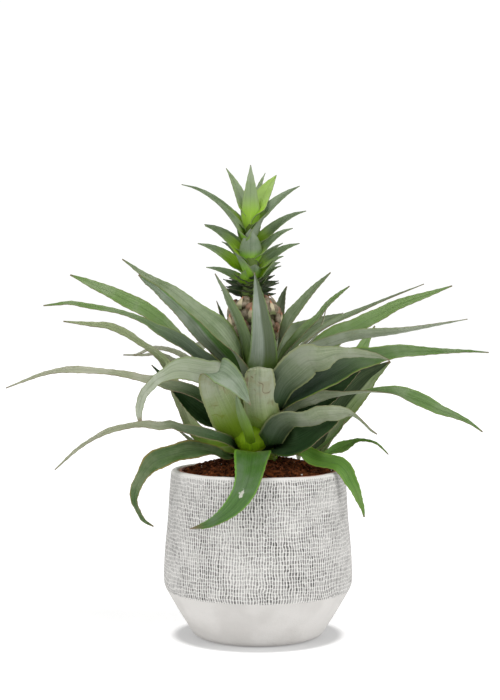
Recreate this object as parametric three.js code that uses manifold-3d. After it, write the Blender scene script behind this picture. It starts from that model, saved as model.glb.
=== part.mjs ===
// Potted pineapple plant: a young fruiting plant in its nursery pot, stood in a ceramic cover pot.
// Millimetres, +Z up. The origin is the centre of the cover pot's underside, and the plant's
// front faces -Y.

import * as THREE from 'three';
import { mergeVertices } from 'three/addons/utils/BufferGeometryUtils.js';
import Module from 'manifold-3d';

const wasm = await Module();
wasm.setup();

// Driving dimensions
const GAP = 0.3;                    // clearance between pieces that touch
const POT_HEIGHT = 135;
const POT_RIM_RADIUS = 70.5;
const POT_WIDEST_RADIUS = 76.5;
const POT_FOOT_RADIUS = 47;
const POT_WALL = 6.4;
const POT_FLOOR = 8;
const GROW_WALL = 1.3;
const GROW_LIP_Z = 134.4;
const SOIL_EDGE_Z = 132.4;
const SOIL_REACH = 61.4;
const SOIL_MOUND = 11;
const STEM_X = -2;                  // the plant leans a little, so its axis is off the pot's
const STEM_FOOT_Z = 108;
const HEART_RADIUS = 19.5;
const STALK_RADIUS = 7;
const FRUIT_FOOT_Z = 234.5;
const FRUIT_TOP_Z = 275;
const FRUIT_RADIUS = 22.8;
const CROWN_TOP_Z = 342;
const LEAF_THICKNESS = 0.9;
const CROWN_LEAF_THICKNESS = 0.8;
const CROWN_X = -6;

const ROUND_SIDES = 40;
const STEM_SIDES = 16;
const CROWN_CORE_SIDES = 8;
const LEAF_SEGMENTS = 10;
const CROWN_LEAF_SEGMENTS = 5;

const part = new THREE.Group();
const degrees = THREE.MathUtils.degToRad;

// One material for each kind of surface
const surface = (color, roughness) => () => (
  new THREE.MeshStandardMaterial({ color, roughness, metalness: 0 })
);
const ceramic = surface(0xd9d7d2, 0.75);
const nurseryPlastic = surface(0x9a4a30, 0.55);
const pottingSoil = surface(0x3a2018, 0.95);
const stemGreen = surface(0x7d9434, 0.6);
const leafGreen = surface(0x5d7a55, 0.55);
const crownGreen = surface(0x5b8038, 0.5);
const fruitSkin = surface(0x8a6a4e, 0.7);

function addPiece(name, geometry, material) {
  const mesh = new THREE.Mesh(geometry, material());
  mesh.name = name;
  part.add(mesh);
  return mesh;
}

// Solids of revolution about Z, from a profile of [radius, height] points

function weld(geometry) {
  geometry.deleteAttribute('normal');
  geometry.deleteAttribute('uv');
  return mergeVertices(geometry, 1e-4);
}

function turned(profile, sides = ROUND_SIDES) {
  const points = profile.map(([radius, height]) => new THREE.Vector2(radius, height));
  return weld(new THREE.LatheGeometry(points, sides).rotateX(Math.PI / 2));
}

// Moves every vertex of a geometry by a function of its place
function shaped(geometry, move) {
  const position = geometry.attributes.position;
  const vertex = new THREE.Vector3();
  for (let i = 0; i < position.count; i += 1) {
    vertex.fromBufferAttribute(position, i);
    move(vertex);
    position.setXYZ(i, vertex.x, vertex.y, vertex.z);
  }
  return geometry;
}

// Joins and cuts

function solidOf(geometry) {
  return new wasm.Manifold(new wasm.Mesh({
    numProp: 3,
    vertProperties: Float32Array.from(geometry.attributes.position.array),
    triVerts: Uint32Array.from(geometry.index.array),
  }));
}

function geometryOf(solid) {
  const mesh = solid.getMesh();
  const geometry = new THREE.BufferGeometry();
  geometry.setAttribute('position', new THREE.BufferAttribute(mesh.vertProperties, 3));
  geometry.setIndex(new THREE.BufferAttribute(mesh.triVerts, 1));
  return geometry;
}

// Ceramic cover pot: straight wall that widens to a soft shoulder, then a cone down to the foot

function buildPot() {
  const innerRim = POT_RIM_RADIUS - POT_WALL;
  addPiece('pot', turned([
    [0, 0],
    [POT_FOOT_RADIUS, 0],
    [POT_FOOT_RADIUS + 6, 2.5],
    [57.5, 10],
    [63.2, 19],
    [68.8, 28.6],
    [73.6, 37],
    [POT_WIDEST_RADIUS - 0.6, 42],
    [POT_WIDEST_RADIUS, 48],
    [POT_WIDEST_RADIUS - 0.4, 60],
    [75.1, 75],
    [73.2, 95],
    [72, 115],
    [POT_RIM_RADIUS + 0.4, 130],
    [POT_RIM_RADIUS - 0.8, POT_HEIGHT - 1.2],
    [POT_RIM_RADIUS - 2.4, POT_HEIGHT],
    [innerRim + 2, POT_HEIGHT],
    [innerRim + 0.5, POT_HEIGHT - 1],
    [innerRim, POT_HEIGHT - 3],
    [67.5, 95],
    [69, 60],
    [67.5, 40],
    [56, 20],
    [48, POT_FLOOR],
    [0, POT_FLOOR],
  ]), ceramic);
}

// Thin nursery pot that stands inside the cover pot, its lip just under the cover pot's rim
const GROW_PROFILE = [[45, POT_FLOOR + GAP], [61.3, 124], [61.5, 126], [63.2, 126.6], [63.4, GROW_LIP_Z]];

function buildGrowPot() {
  const outside = GROW_PROFILE;
  const inside = outside.map(([radius, height]) => [radius - GROW_WALL, height]);
  inside[0][1] += GROW_WALL;
  addPiece('grow_pot', turned([
    [0, outside[0][1]],
    ...outside,
    ...inside.reverse(),
    [0, POT_FLOOR + GAP + GROW_WALL],
  ]), nurseryPlastic);
}

// Potting soil: a low lumpy mound with a plain blind hole for the stem

const soilTop = (radius) => SOIL_EDGE_Z + SOIL_MOUND * (1 - (radius / SOIL_REACH) ** 2);

function buildSoil() {
  const holeRadius = HEART_RADIUS + GAP;
  const foot = POT_FLOOR + GROW_WALL + 2 * GAP;
  const skin = [SOIL_REACH, 57, 51, 44, 36, 29, 23, holeRadius].map((radius) => [radius, soilTop(radius)]);
  const geometry = turned([
    [0, foot],
    [42.8, foot],
    [59.2, 122],
    [59.4, 125.4],
    [SOIL_REACH, 127.8],
    ...skin,
    [holeRadius, STEM_FOOT_Z - GAP],
    [0, STEM_FOOT_Z - GAP],
  ]);
  addPiece('soil', shaped(geometry, (v) => {
    const radius = Math.hypot(v.x, v.y);
    const lump = Math.sin(0.21 * v.x + 1.3) * Math.cos(0.17 * v.y - 0.4) + Math.sin(0.11 * (v.x - v.y));
    if (v.z > SOIL_EDGE_Z - 1 && radius > holeRadius + 1) v.z += lump;
    v.x += STEM_X * THREE.MathUtils.clamp((30 - radius) / 8, 0, 1);
  }), pottingSoil);
}

// Stem: the heart of packed leaf bases, narrowing to the fruit stalk

const STEM_PROFILE = [
  [HEART_RADIUS - 2, STEM_FOOT_Z],
  [HEART_RADIUS, STEM_FOOT_Z + 3],
  [HEART_RADIUS, 172],
  [17.5, 192],
  [13, 212],
  [STALK_RADIUS + 1.5, 223],
  [STALK_RADIUS, FRUIT_FOOT_Z - GAP],
];

function stemRadius(height) {
  for (let i = 1; i < STEM_PROFILE.length; i += 1) {
    const [lowRadius, low] = STEM_PROFILE[i - 1];
    const [highRadius, high] = STEM_PROFILE[i];
    if (height <= high) return THREE.MathUtils.mapLinear(height, low, high, lowRadius, highRadius);
  }
  return STALK_RADIUS;
}

function stemGeometry(grow) {
  const outline = STEM_PROFILE.map(([radius, height]) => [radius + grow, height]);
  outline[0][1] -= grow;
  outline[outline.length - 1][1] += grow;
  return turned([
    [0, outline[0][1]],
    ...outline,
    [0, outline[outline.length - 1][1]],
  ], STEM_SIDES).translate(STEM_X, 0, 0);
}

function buildStem() {
  addPiece('stem', stemGeometry(0), stemGreen);
}

// Value at t on straight lines through values that are evenly spread or stand at given places
function valueAt(t, values, places = values.map((_, i) => i / (values.length - 1))) {
  const next = Math.max(1, places.findIndex((place) => place >= t - 1e-9));
  return THREE.MathUtils.mapLinear(t, places[next - 1], places[next], values[next - 1], values[next]);
}

// A long blade: rings across a curve, each ring a thin channelled strip whose edges may wave.
// The breadth in millimetres and the roll in degrees are functions of the share of its length.

function blade({ curve, side, breadth, thickness, roll, channel, wave, rows, segments }) {
  const half = (rows - 1) / 2;
  const positions = [];
  for (let i = 0; i <= segments; i += 1) {
    const t = i / segments;
    const centre = curve.getPointAt(t);
    const along = curve.getTangentAt(t);
    const across = side.clone().addScaledVector(along, -side.dot(along)).normalize();
    across.applyAxisAngle(along, degrees(roll(t)));
    const up = along.clone().cross(across);
    const reach = Math.max(0.5 * breadth(t), 0.45);
    for (const face of [0.5, -0.5]) {
      for (let j = -half; j <= half; j += 1) {
        const s = j / half;
        const lift = channel * reach * Math.abs(s) ** 1.5 * (1 - 0.5 * t);
        const ripple = wave * s ** 2 * Math.sin(Math.PI * t) * Math.sin(16 * t + 2.2 * Math.sign(s));
        positions.push(centre.clone()
          .addScaledVector(across, s * reach)
          .addScaledVector(up, lift + ripple + face * thickness));
      }
    }
  }
  const ring = 2 * rows;
  const index = [];
  const quad = (a, b, c, d) => index.push(a, b, c, a, c, d);
  for (let i = 0; i < segments; i += 1) {
    const here = i * ring;
    const next = here + ring;
    for (let j = 0; j < rows - 1; j += 1) {
      quad(here + j, next + j, next + j + 1, here + j + 1);
      const under = rows + j;
      index.push(here + under, next + under + 1, next + under);
      index.push(here + under, here + under + 1, next + under + 1);
    }
    quad(here, here + rows, next + rows, next);
    quad(here + rows - 1, next + rows - 1, next + 2 * rows - 1, here + 2 * rows - 1);
  }
  const last = segments * ring;
  for (let j = 0; j < rows - 1; j += 1) {
    quad(j, j + 1, rows + j + 1, rows + j);
    quad(last + j, last + rows + j, last + rows + j + 1, last + j + 1);
  }
  const geometry = new THREE.BufferGeometry().setFromPoints(positions);
  geometry.setIndex(index);
  return geometry;
}

// Rosette leaves. Each has its azimuth and height on the heart, the points that its midrib
// passes through, and its roll in degrees at even steps from root to tip. A fourth number at
// the points is the breadth there; a leaf without it has one width and a taper.

const LEAVES = {
  leaf_front_1: {
    root: [-83, 202],
    via: [[4, -25, 222], [4, -29, 240], [2, -32, 258], [0, -35, 275], [-3, -36, 293]],
    width: 27, taper: 2,
  },
  leaf_front_2: {
    root: [-127, 156],
    via: [
      [-24, -40, 184], [-31, -52, 201], [-33, -60, 211], [-31, -65, 216], [-26, -68, 215], [-16, -71, 206],
      [-6, -73, 191],
    ],
    width: 30, taper: 4.5, side: [0.8, 0, 0.6],
  },
  leaf_front_3: {
    root: [-48, 156],
    via: [[3, -36, 181], [1, -44, 199], [1, -50, 211], [1, -52, 218], [0, -47, 219], [-2, -41, 211]],
    width: 25, taper: 8, side: [1, 0, 0], cup: 0.25,
  },
  leaf_front_4: {
    root: [-100, 150],
    via: [
      [-8, -37, 166, 8], [-11, -43, 175, 8.5], [-14, -48, 184, 7], [-16, -51, 192, 4],
      [-17, -53, 198, 0.9],
    ],
  },
  leaf_front_5: {
    root: [-92, 147],
    via: [
      [-4, -38, 151], [-5, -56, 146], [-7, -72, 136], [-12, -82, 124], [-22, -87, 112], [-36, -88, 103],
      [-52, -84, 98],
    ],
    width: 33, wave: 1.4, cup: 0.2,
  },
  leaf_left_1: {
    root: [-166, 174],
    via: [
      [-40, -19, 189.5, 13], [-61, -22, 200.5, 12], [-71, -21, 203, 11], [-81, -19, 207, 8.5],
      [-90, -17, 208, 5.2], [-105, -12, 211, 6.4], [-150, -4, 215, 6], [-176, 0, 211, 3.8],
      [-207, 4, 200, 0.9],
    ],
    roll: [-30, -60, -60, -50],
  },
  leaf_left_2: {
    root: [-154, 191],
    via: [
      [-36, -17, 219, 12], [-47, -17, 226.5, 11.5], [-62, -12, 237.5, 13], [-76, -10, 245.5, 11],
      [-89, -7, 253, 4.9], [-113, -2, 262, 4.6], [-141, 4, 267, 4.6], [-175, 10, 267, 0.9],
    ],
    roll: [-30, -60, -60, -50],
  },
  leaf_left_3: {
    root: [158, 205],
    via: [
      [-56, 24, 232, 7], [-64, 26, 239, 8], [-82, 30, 256, 11], [-96, 34, 265, 13],
      [-109, 38, 271, 12.5], [-137, 45, 284, 7.5], [-158, 50, 293, 0.9],
    ],
    roll: [-40, -65, -60],
  },
  leaf_left_4: {
    root: [154, 151],
    via: [
      [-43, 11, 157, 14], [-55, 13, 169, 11], [-60, 14, 180, 9.5], [-72, 18, 211, 8.2], [-87, 22, 230, 5.8],
      [-98, 25, 237, 4.9], [-124, 30, 250, 6.3], [-144, 33, 252, 3.9], [-162, 35, 254, 0.9],
    ],
    roll: [-55, -62, -60, -50],
  },
  leaf_left_5: {
    root: [142, 190],
    via: [[-63, 40, 225, 5.2], [-81, 50, 231, 4.2], [-97, 57, 228, 2.7], [-105, 60, 225, 0.9]],
    roll: [-20, -60],
  },
  leaf_left_6: {
    root: [-120, 182],
    via: [
      [-28, -38, 212, 22], [-48, -49, 214, 23.5], [-57, -52, 216, 21.5], [-65, -56, 216, 15.5],
      [-72, -59, 213, 10], [-83, -66, 205, 7.4], [-90, -72, 193, 6], [-90, -77, 179, 2.4],
    ],
    roll: [-20, -50, -60, -60, -50],
  },
  leaf_left_7: {
    root: [-130, 205],
    via: [
      [-17, -25, 225, 26], [-24, -28, 236, 28], [-32, -31, 246, 25], [-50, -35, 263, 15.5],
      [-59, -36, 271, 12], [-79, -40, 285, 6], [-106, -45, 303, 0.9],
    ],
    roll: [-20, -60, -80, -80],
  },
  leaf_left_8: {
    root: [-175, 208],
    via: [
      [-35, -4, 232, 19], [-50, -3, 250, 16.5], [-66, -3, 267, 12], [-83, 1, 282, 7.5],
      [-97, 5, 292, 0.9],
    ],
    roll: [-30, -70, -75],
  },
  leaf_left_9: {
    root: [-112, 211],
    via: [[-11, -21.5, 240, 12.5], [-17, -28, 256, 12], [-27, -33, 279, 5.5], [-34, -35, 292, 0.9]],
    roll: [0, -10],
  },
  leaf_left_10: { root: [124, 213], via: [[-24, 21, 242], [-34, 18, 271]], width: 19 },
  leaf_left_11: {
    root: [-175, 157],
    via: [
      [-26, -6, 164, 20], [-38, -4, 174, 22], [-50, -4, 184, 18], [-72, -4, 205, 5], [-86, -4, 219, 0.9],
    ],
    roll: [-30, -70, -75],
  },
  leaf_left_12: {
    root: [-150, 150],
    via: [
      [-29, -30, 161, 11], [-40, -34, 165, 10], [-61, -37, 170, 7.8], [-77, -37, 172, 6.5],
      [-101, -35, 172, 5.6], [-126, -34, 164, 3.7], [-161, -30, 137, 0.9],
    ],
    roll: [-40, -60, -50, -50],
  },
  leaf_left_13: {
    root: [-165, 145],
    via: [[-44, 0, 149], [-56, 5, 158], [-67, 9, 167]],
    width: 14, roll: [-30, -40],
  },
  leaf_left_14: {
    root: [-156, 143],
    via: [
      [-29, -23, 147, 8], [-36, -24, 150, 12], [-54, -28, 152, 15], [-75, -34, 147, 17], [-83, -36, 143, 15],
      [-93, -39, 130, 9], [-97, -42, 114, 4.6], [-90, -43, 99, 3.2], [-82, -44, 94, 0.9],
    ],
    roll: [-30, -60, -60, -50, -60],
  },
  leaf_left_15: {
    root: [150, 213],
    via: [
      [-50, 46, 215, 5.3], [-70, 54, 220, 4.8], [-87, 62, 226, 3.2], [-97, 66, 225, 2.1],
      [-115, 70, 225, 0.9],
    ],
    roll: [-20, -60],
  },
  leaf_right_1: {
    root: [-26, 206],
    via: [
      [18, -15, 232, 14], [21, -18, 243, 15], [32, -27, 265, 11.3], [46, -31, 282, 5.8], [57, -33, 293, 0.9],
    ],
    roll: [10, 60, 75],
  },
  leaf_right_2: {
    root: [7, 210],
    via: [[22, 4, 229, 9], [33, 6, 242, 8.6], [49, 10, 258, 5.6], [67, 13, 277, 3.1], [75, 14, 283, 0.9]],
    roll: [20, 60],
  },
  leaf_right_3: {
    root: [-38, 194],
    via: [[25, -23, 222], [50, -28, 247], [88, -28, 266], [131, -28, 284]],
    width: 13, roll: [10, 35, 35],
  },
  leaf_right_4: {
    root: [30, 201],
    via: [
      [43, 24, 224.5, 19], [56, 28, 234, 20], [68, 32, 243, 17], [81, 36, 249, 13], [103, 43, 260, 11.2],
      [127, 49, 271, 7.8], [142, 53, 276, 5.4], [165, 58, 284, 0.9],
    ],
    roll: [30, 60, 60],
  },
  leaf_right_5: {
    root: [-6, 178],
    via: [
      [26, 0, 216], [43, 3, 230], [60, 5, 237], [77, 7, 242], [116, 11, 246], [150, 14, 252],
      [172, 16, 256],
    ],
    width: 18, taper: 1.5, roll: [-30, -55, -40],
  },
  leaf_right_6: {
    root: [-8, 178],
    via: [
      [25, -28, 192, 19], [48, -38, 208, 24], [62, -40, 216, 25], [89, -42, 226, 15], [112, -42, 231, 10.6],
      [137, -40, 231, 6], [182, -34, 230, 0.9],
    ],
    roll: [30, 65, 65, 60],
  },
  leaf_right_7: {
    root: [-66, 170],
    via: [
      [13, -37, 191, 18], [28, -51, 216, 27], [38, -55, 224, 26], [47, -58, 225, 23], [54, -61, 228, 15],
      [61, -63, 230, 10], [84, -68, 229, 6.4], [100, -70, 225, 0.9],
    ],
    roll: [-20, -60, -62, -60],
  },
  leaf_right_8: {
    root: [-30, 160],
    via: [
      [17, -24, 175, 11], [47, -24, 193, 13], [68, -23, 196, 8], [87, -21, 198, 9.5], [123, -15, 193, 14],
      [146, -11, 183, 9], [182, -5, 165, 0.9],
    ],
    roll: [-50, -60, 20, 55, 55],
  },
  leaf_right_9: {
    root: [-66, 152],
    via: [
      [10, -32, 160, 20], [24, -43, 177, 16], [32, -47, 177, 11], [48, -55, 182, 15.5], [57, -59, 183, 15],
      [69, -66, 184, 6.4], [81, -72, 176, 5.4], [90, -76, 169, 0.9],
    ],
    roll: [-30, -60, -55, -50],
  },
  leaf_right_10: {
    root: [-40, 151],
    via: [
      [30, -33, 158, 26], [42, -38, 165, 27], [52, -42, 173, 22], [61, -45, 180, 13], [68, -47, 186, 0.9],
    ],
    roll: [45, 65, 65], wave: 1.4,
  },
  leaf_right_11: {
    root: [30, 151],
    via: [
      [47, 26, 143, 12], [56, 32, 162, 18], [61, 35, 172, 23], [68, 38, 182, 27], [84, 44, 200, 25],
      [93, 47, 208, 18], [112, 51, 220, 0.9],
    ],
    roll: [20, 62, 66, 60],
  },
  leaf_right_12: {
    root: [36, 182],
    via: [[62, 48, 186, 6], [74, 54, 200, 7], [85, 59, 224, 10.5], [91, 61, 235, 8.5], [100, 64, 250, 0.9]],
    roll: [20, 62, 62],
  },
  leaf_right_13: {
    root: [-12, 160],
    via: [
      [30, -8, 176, 18], [48, -9, 191, 24], [62, -10, 202, 22], [74, -11, 210, 10], [82, -11, 215, 0.9],
    ],
    roll: [30, 65, 60],
  },
  leaf_right_14: {
    root: [52, 207],
    via: [[24, 35, 237], [47, 42, 250], [72, 48, 261]],
    width: 33, roll: [25, 60],
  },
  leaf_right_15: {
    root: [-14, 200],
    via: [
      [24, -9, 222, 5], [40, -9, 235, 5.4], [47, -11, 243, 5.6], [52, -12, 253, 3.8], [54, -13, 263, 0.9],
    ],
  },
  leaf_right_16: {
    root: [64, 214],
    via: [[14, 20, 240, 10], [16, 22, 247, 12], [18, 24, 259, 11.5], [22, 27, 278, 4], [24, 28, 283, 0.9]],
  },
  leaf_right_17: {
    root: [-46, 146],
    via: [
      [20, -22, 148.5, 7], [29, -23, 151.5, 9], [36, -24, 150, 12], [43, -26, 146, 14], [57, -31, 143, 12],
      [69, -35, 136, 12.6], [76, -39, 123, 8], [82, -41, 107, 2.6], [83, -42, 101, 0.9],
    ],
    roll: [20, 55, 55, 50],
  },
  leaf_right_18: {
    root: [2, 146],
    via: [
      [49, 18, 142, 5], [57, 21, 145, 4.5], [70, 23, 150, 10.5], [82, 20, 156, 3], [97, 14, 154, 2.3],
      [107, 12, 145, 0.9],
    ],
    roll: [10, 60, 60, 50],
  },
  leaf_right_19: {
    root: [-12, 147],
    via: [
      [42, -12, 148, 3], [53, -15, 155, 4.2], [60, -17, 162, 3.6], [66, -19, 169, 2.4],
      [69, -20, 175, 0.9],
    ],
    roll: [30, 60],
  },
};

// The leaves on the far side arch out by one rule: azimuth, root height, reach, rise and droop
const BACK_LEAVES = [
  [66, 151, 96, 22, 46],
  [99, 149, 102, 16, 60],
  [133, 151, 84, 40, 10],
  [72, 170, 150, 62, 26],
  [92, 163, 142, 44, 34],
  [114, 172, 156, 60, 30],
  [134, 164, 148, 48, 30],
  [83, 192, 128, 66, 8],
  [103, 186, 134, 66, 6],
  [122, 170, 120, 63, 4],
];

function archedPath(azimuth, height, reach, rise, droop) {
  const out = new THREE.Vector3(Math.cos(degrees(azimuth)), Math.sin(degrees(azimuth)), 0);
  const station = (share, climb) => out.clone().multiplyScalar(share * reach)
    .add(new THREE.Vector3(STEM_X, 0, height + climb));
  return [
    station(0.33, 0.6 * rise),
    station(0.62, rise),
    station(0.85, rise - 0.35 * droop),
    station(1, rise - droop),
  ];
}

// Shares of a curve's length at which it passes its own points
function pointShares(curve) {
  const steps = 20;
  const lengths = curve.getLengths(steps * (curve.points.length - 1));
  return curve.points.map((_, i) => lengths[steps * i] / lengths[lengths.length - 1]);
}

function buildLeaf(name, azimuth, height, via, form) {
  const { width, taper = 1.9, roll = [0, 0], wave = 0.4, side, cup = 0.4 } = form;
  const out = new THREE.Vector3(Math.cos(degrees(azimuth)), Math.sin(degrees(azimuth)), 0);
  const rootReach = 0.35 * stemRadius(height);
  const root = out.clone().multiplyScalar(rootReach).add(new THREE.Vector3(STEM_X, 0, height));
  const points = via.map(([x, y, z]) => new THREE.Vector3(x, y, z));
  const chord = points[points.length - 2].clone().sub(root);
  const heading = out.clone().multiplyScalar(0.6).add(chord.setZ(0).normalize()).normalize();
  const curve = new THREE.CatmullRomCurve3([root, ...points], false, 'centripetal');
  const shares = pointShares(curve);
  const breadths = [0.3 * via[0][3], ...via.map((point) => point[3])];
  const tapered = (t) => width * (0.38 + 0.62 * THREE.MathUtils.smoothstep(t, 0, 0.26)) * (1 - t ** taper);
  const wide = width >= 24 || wave > 0.5;
  const geometry = blade({
    curve,
    side: side ? new THREE.Vector3(...side) : new THREE.Vector3(-heading.y, heading.x, 0),
    breadth: width ? tapered : (t) => valueAt(t, breadths, shares),
    roll: (t) => valueAt(t, roll),
    wave,
    thickness: LEAF_THICKNESS,
    channel: cup,
    rows: wide ? 5 : 3,
    segments: LEAF_SEGMENTS,
  });
  const free = solidOf(geometry).subtract(solidOf(stemGeometry(GAP)));
  addPiece(name, geometryOf(free), leafGreen);
}

function buildLeaves() {
  for (const [name, leaf] of Object.entries(LEAVES)) {
    buildLeaf(name, leaf.root[0], leaf.root[1], leaf.via, leaf);
  }
  BACK_LEAVES.forEach(([azimuth, height, reach, rise, droop], i) => {
    const via = archedPath(azimuth, height, reach, rise, droop);
    buildLeaf(`leaf_back_${i + 1}`, azimuth, height, via, { width: 20 - 3 * (i % 3) });
  });
}

// Fruit: a small barrel with raised eyes in spiral rows

function buildFruit() {
  const middle = 0.5 * (FRUIT_FOOT_Z + FRUIT_TOP_Z);
  const halfHeight = 0.5 * (FRUIT_TOP_Z - FRUIT_FOOT_Z);
  const rings = 15;
  const profile = [[0, FRUIT_FOOT_Z]];
  for (let i = 0; i <= rings; i += 1) {
    const h = 0.97 * THREE.MathUtils.mapLinear(i, 0, rings, -1, 1);
    const radius = FRUIT_RADIUS * (1 - Math.abs(h) ** 2.6) ** 0.55;
    profile.push([radius, THREE.MathUtils.mapLinear(i, 0, rings, FRUIT_FOOT_Z, FRUIT_TOP_Z)]);
  }
  profile.push([0, FRUIT_TOP_Z]);
  const geometry = shaped(turned(profile), (v) => {
    const radius = Math.hypot(v.x, v.y);
    const turn = Math.atan2(v.y, v.x);
    const climb = (v.z - middle) / halfHeight;
    const eye = Math.cos(4 * turn + 7 * climb) * Math.cos(4 * turn - 7 * climb);
    const swell = radius < 10 ? 1 : 1 + 0.06 * eye;
    v.x *= swell;
    v.y *= swell;
  });
  addPiece('fruit', geometry.translate(STEM_X - 1, 0, 0), fruitSkin);
}

// Crown: a short leafy shoot. The leaves that show have their azimuth, root height, reach,
// tip height, width and bow by hand; the rest fill its far side and its foot by rule.
const CROWN_LEAVES = [
  [-90, 330, 6, 380, 17, 0.1],
  [150, 338, 23, 379, 12, 0.2],
  [60, 343, 24, 376, 7, 0.2],
  [18, 338, 22, 373, 17, 0.15],
  [178, 326, 56, 365, 9, 0.5],
  [-150, 316, 38, 353, 18, 0.35],
  [-10, 330, 40, 363, 15, 0.3],
  [-50, 317, 21, 341, 18, 0.3],
  [-90, 304, 14, 328.5, 20, 0.25],
  [0, 314, 45, 343.5, 13, 0.45],
  [-15, 304, 35, 329, 14, 0.45],
  [-10, 294, 40, 317, 14, 0.45],
  [20, 300, 28, 318, 7, 0.3],
  [172, 308, 38, 333, 13, 0.45],
  [-165, 302, 38, 331, 17, 0.45],
  [160, 301, 25, 319, 8, 0.4],
  [-172, 292, 43, 317, 16, 0.45],
  [-125, 288, 22, 309.5, 20, 0.2],
  [-75, 286, 14, 300, 24, 0.1],
  [180, 286, 36, 298, 10, 0.5],
  [-25, 285, 29, 306.5, 15, 0.5],
  [-8, 282, 25, 299, 8, 0.5],
];
const CROWN_BACK_LEAVES = 7;
const CROWN_SCALES = 8;
const GOLDEN_ANGLE = 137.5;
const CROWN_LEAF_TURN = 52;         // the leaves at the sides turn their faces to the front

function crownCoreRadius(height) {
  return THREE.MathUtils.mapLinear(height, FRUIT_TOP_Z, CROWN_TOP_Z, 9.5, 3.5);
}

function crownLeaf([azimuth, height, reach, tipHeight, width, bow]) {
  const out = new THREE.Vector3(Math.cos(degrees(azimuth)), Math.sin(degrees(azimuth)), 0);
  const start = 0.4 * crownCoreRadius(height);
  const rise = tipHeight - height;
  const station = (share) => out.clone().multiplyScalar(THREE.MathUtils.lerp(start, reach, share))
    .add(new THREE.Vector3(CROWN_X, 0, height + rise * (share + 1.6 * bow * share * (1 - share))));
  return blade({
    curve: new THREE.CatmullRomCurve3([0, 0.35, 0.7, 1].map(station), false, 'centripetal'),
    side: new THREE.Vector3(-out.y, out.x, 0),
    breadth: (t) => width * (0.55 + 0.45 * THREE.MathUtils.smoothstep(t, 0, 0.3)) * (1 - t ** 1.75),
    roll: (t) => CROWN_LEAF_TURN * out.x * THREE.MathUtils.smoothstep(t, 0, 0.35),
    wave: 0,
    thickness: CROWN_LEAF_THICKNESS,
    channel: 0.5,
    rows: 3,
    segments: CROWN_LEAF_SEGMENTS,
  });
}

function buildCrown() {
  const foot = FRUIT_TOP_Z + GAP;
  let crown = solidOf(turned([
    [0, foot],
    [crownCoreRadius(foot), foot],
    [crownCoreRadius(300), 300],
    [crownCoreRadius(CROWN_TOP_Z), CROWN_TOP_Z],
    [0, CROWN_TOP_Z + 2],
  ], CROWN_CORE_SIDES).translate(CROWN_X, 0, 0));
  const leaves = [...CROWN_LEAVES];
  for (let i = 0; i < CROWN_BACK_LEAVES; i += 1) {
    const share = i / CROWN_BACK_LEAVES;
    const azimuth = 35 + 110 * ((0.618 * i) % 1);
    const height = 284 + 46 * share;
    leaves.push([azimuth, height, 38 - 18 * share ** 2, height + 19 + 20 * share, 12, 0.5]);
  }
  for (let i = 0; i < CROWN_SCALES; i += 1) {
    const height = 278.5 + 1.4 * i;
    leaves.push([10 + i * GOLDEN_ANGLE, height, 23, height + 7, 9, -0.3]);
  }
  for (const leaf of leaves) crown = crown.add(solidOf(crownLeaf(leaf)));
  const [whole] = crown.decompose().sort((a, b) => b.volume() - a.volume());
  addPiece('crown', geometryOf(whole), crownGreen);
}

buildPot();
buildGrowPot();
buildSoil();
buildStem();
buildLeaves();
buildFruit();
buildCrown();

export default part;
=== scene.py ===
# Potted pineapple plant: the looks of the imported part, in metres, +Z up, front towards -Y
import math
import random

import bpy
import numpy as np
from mathutils import Matrix, Vector, noise


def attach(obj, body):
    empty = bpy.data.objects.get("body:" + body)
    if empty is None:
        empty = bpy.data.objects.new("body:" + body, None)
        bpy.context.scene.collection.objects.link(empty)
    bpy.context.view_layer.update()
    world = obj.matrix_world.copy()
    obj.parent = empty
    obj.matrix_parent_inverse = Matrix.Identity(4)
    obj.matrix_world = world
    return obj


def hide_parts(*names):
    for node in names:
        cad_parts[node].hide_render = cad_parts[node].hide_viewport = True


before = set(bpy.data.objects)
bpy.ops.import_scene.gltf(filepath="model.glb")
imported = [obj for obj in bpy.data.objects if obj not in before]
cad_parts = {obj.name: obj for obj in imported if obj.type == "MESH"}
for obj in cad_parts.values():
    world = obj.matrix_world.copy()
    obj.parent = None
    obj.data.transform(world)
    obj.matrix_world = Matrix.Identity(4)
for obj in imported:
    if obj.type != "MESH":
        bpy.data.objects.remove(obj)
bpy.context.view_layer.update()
bpy.ops.object.select_all(action="DESELECT")
random.seed(12)

# Sizes in millimetres, turns in degrees
MM = 0.001
STEM_X = -2
FRUIT_X = -3
CROWN_X = -6
POT_HEIGHT = 135
POT_RIM_RADIUS = 70.5
POT_WIDEST_RADIUS = 76.5
POT_FOOT_RADIUS = 47
POT_FLOOR = 8
# Painted shadow on the floor round the pot's foot: its outer radius, and the radius inside which it is full
# grey
FLOOR_PAINTED_SHADOW_RADIUS = 74
FLOOR_PAINTED_SHADOW_INNER = 63
WEAVE_LOW = 37.7
WEAVE_HIGH = 133.8
WEAVE_ROW = 3.0
SOIL_EDGE_Z = 132.4
SOIL_MOUND = 11
SOIL_REACH = 61.2
FRUIT_FOOT_Z = 234.5
FRUIT_TOP_Z = 275
FRUIT_RADIUS = 22.8
CROWN_TOP_Z = 342
LEAF_THICKNESS = 0.75
CROWN_LEAF_THICKNESS = 0.7
SHEATH_THICKNESS = 1.1
BRACT_THICKNESS = 0.5
EYE_RISE = 3.2
LOBE_HALF_SIZE = (5.4, 5.0, 2.9)
BRACT_FOOT = -8.4
BRACT_LENGTH = 11.4
BRACT_HALF_WIDTH = 3.6
# A rosette leaf: its foot goes down the heart, and its clasping root zone is this long
FOOT_DEPTH = 22
FOOT_SINK = 4.5
ROOT_SINK = 0.5
ROOT_ZONE = 30
LEAF_SPINE = 0.28
LEAF_TIP_HALF_WIDTH = 0.35
# A crown leaf starts inside the axis and turns its face towards the front
CROWN_LEAF_SINK = 1.2
CROWN_TWIST = 52
CROWN_SPINE = 0.2
CROWN_TIP_HALF_WIDTH = 0.28

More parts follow.
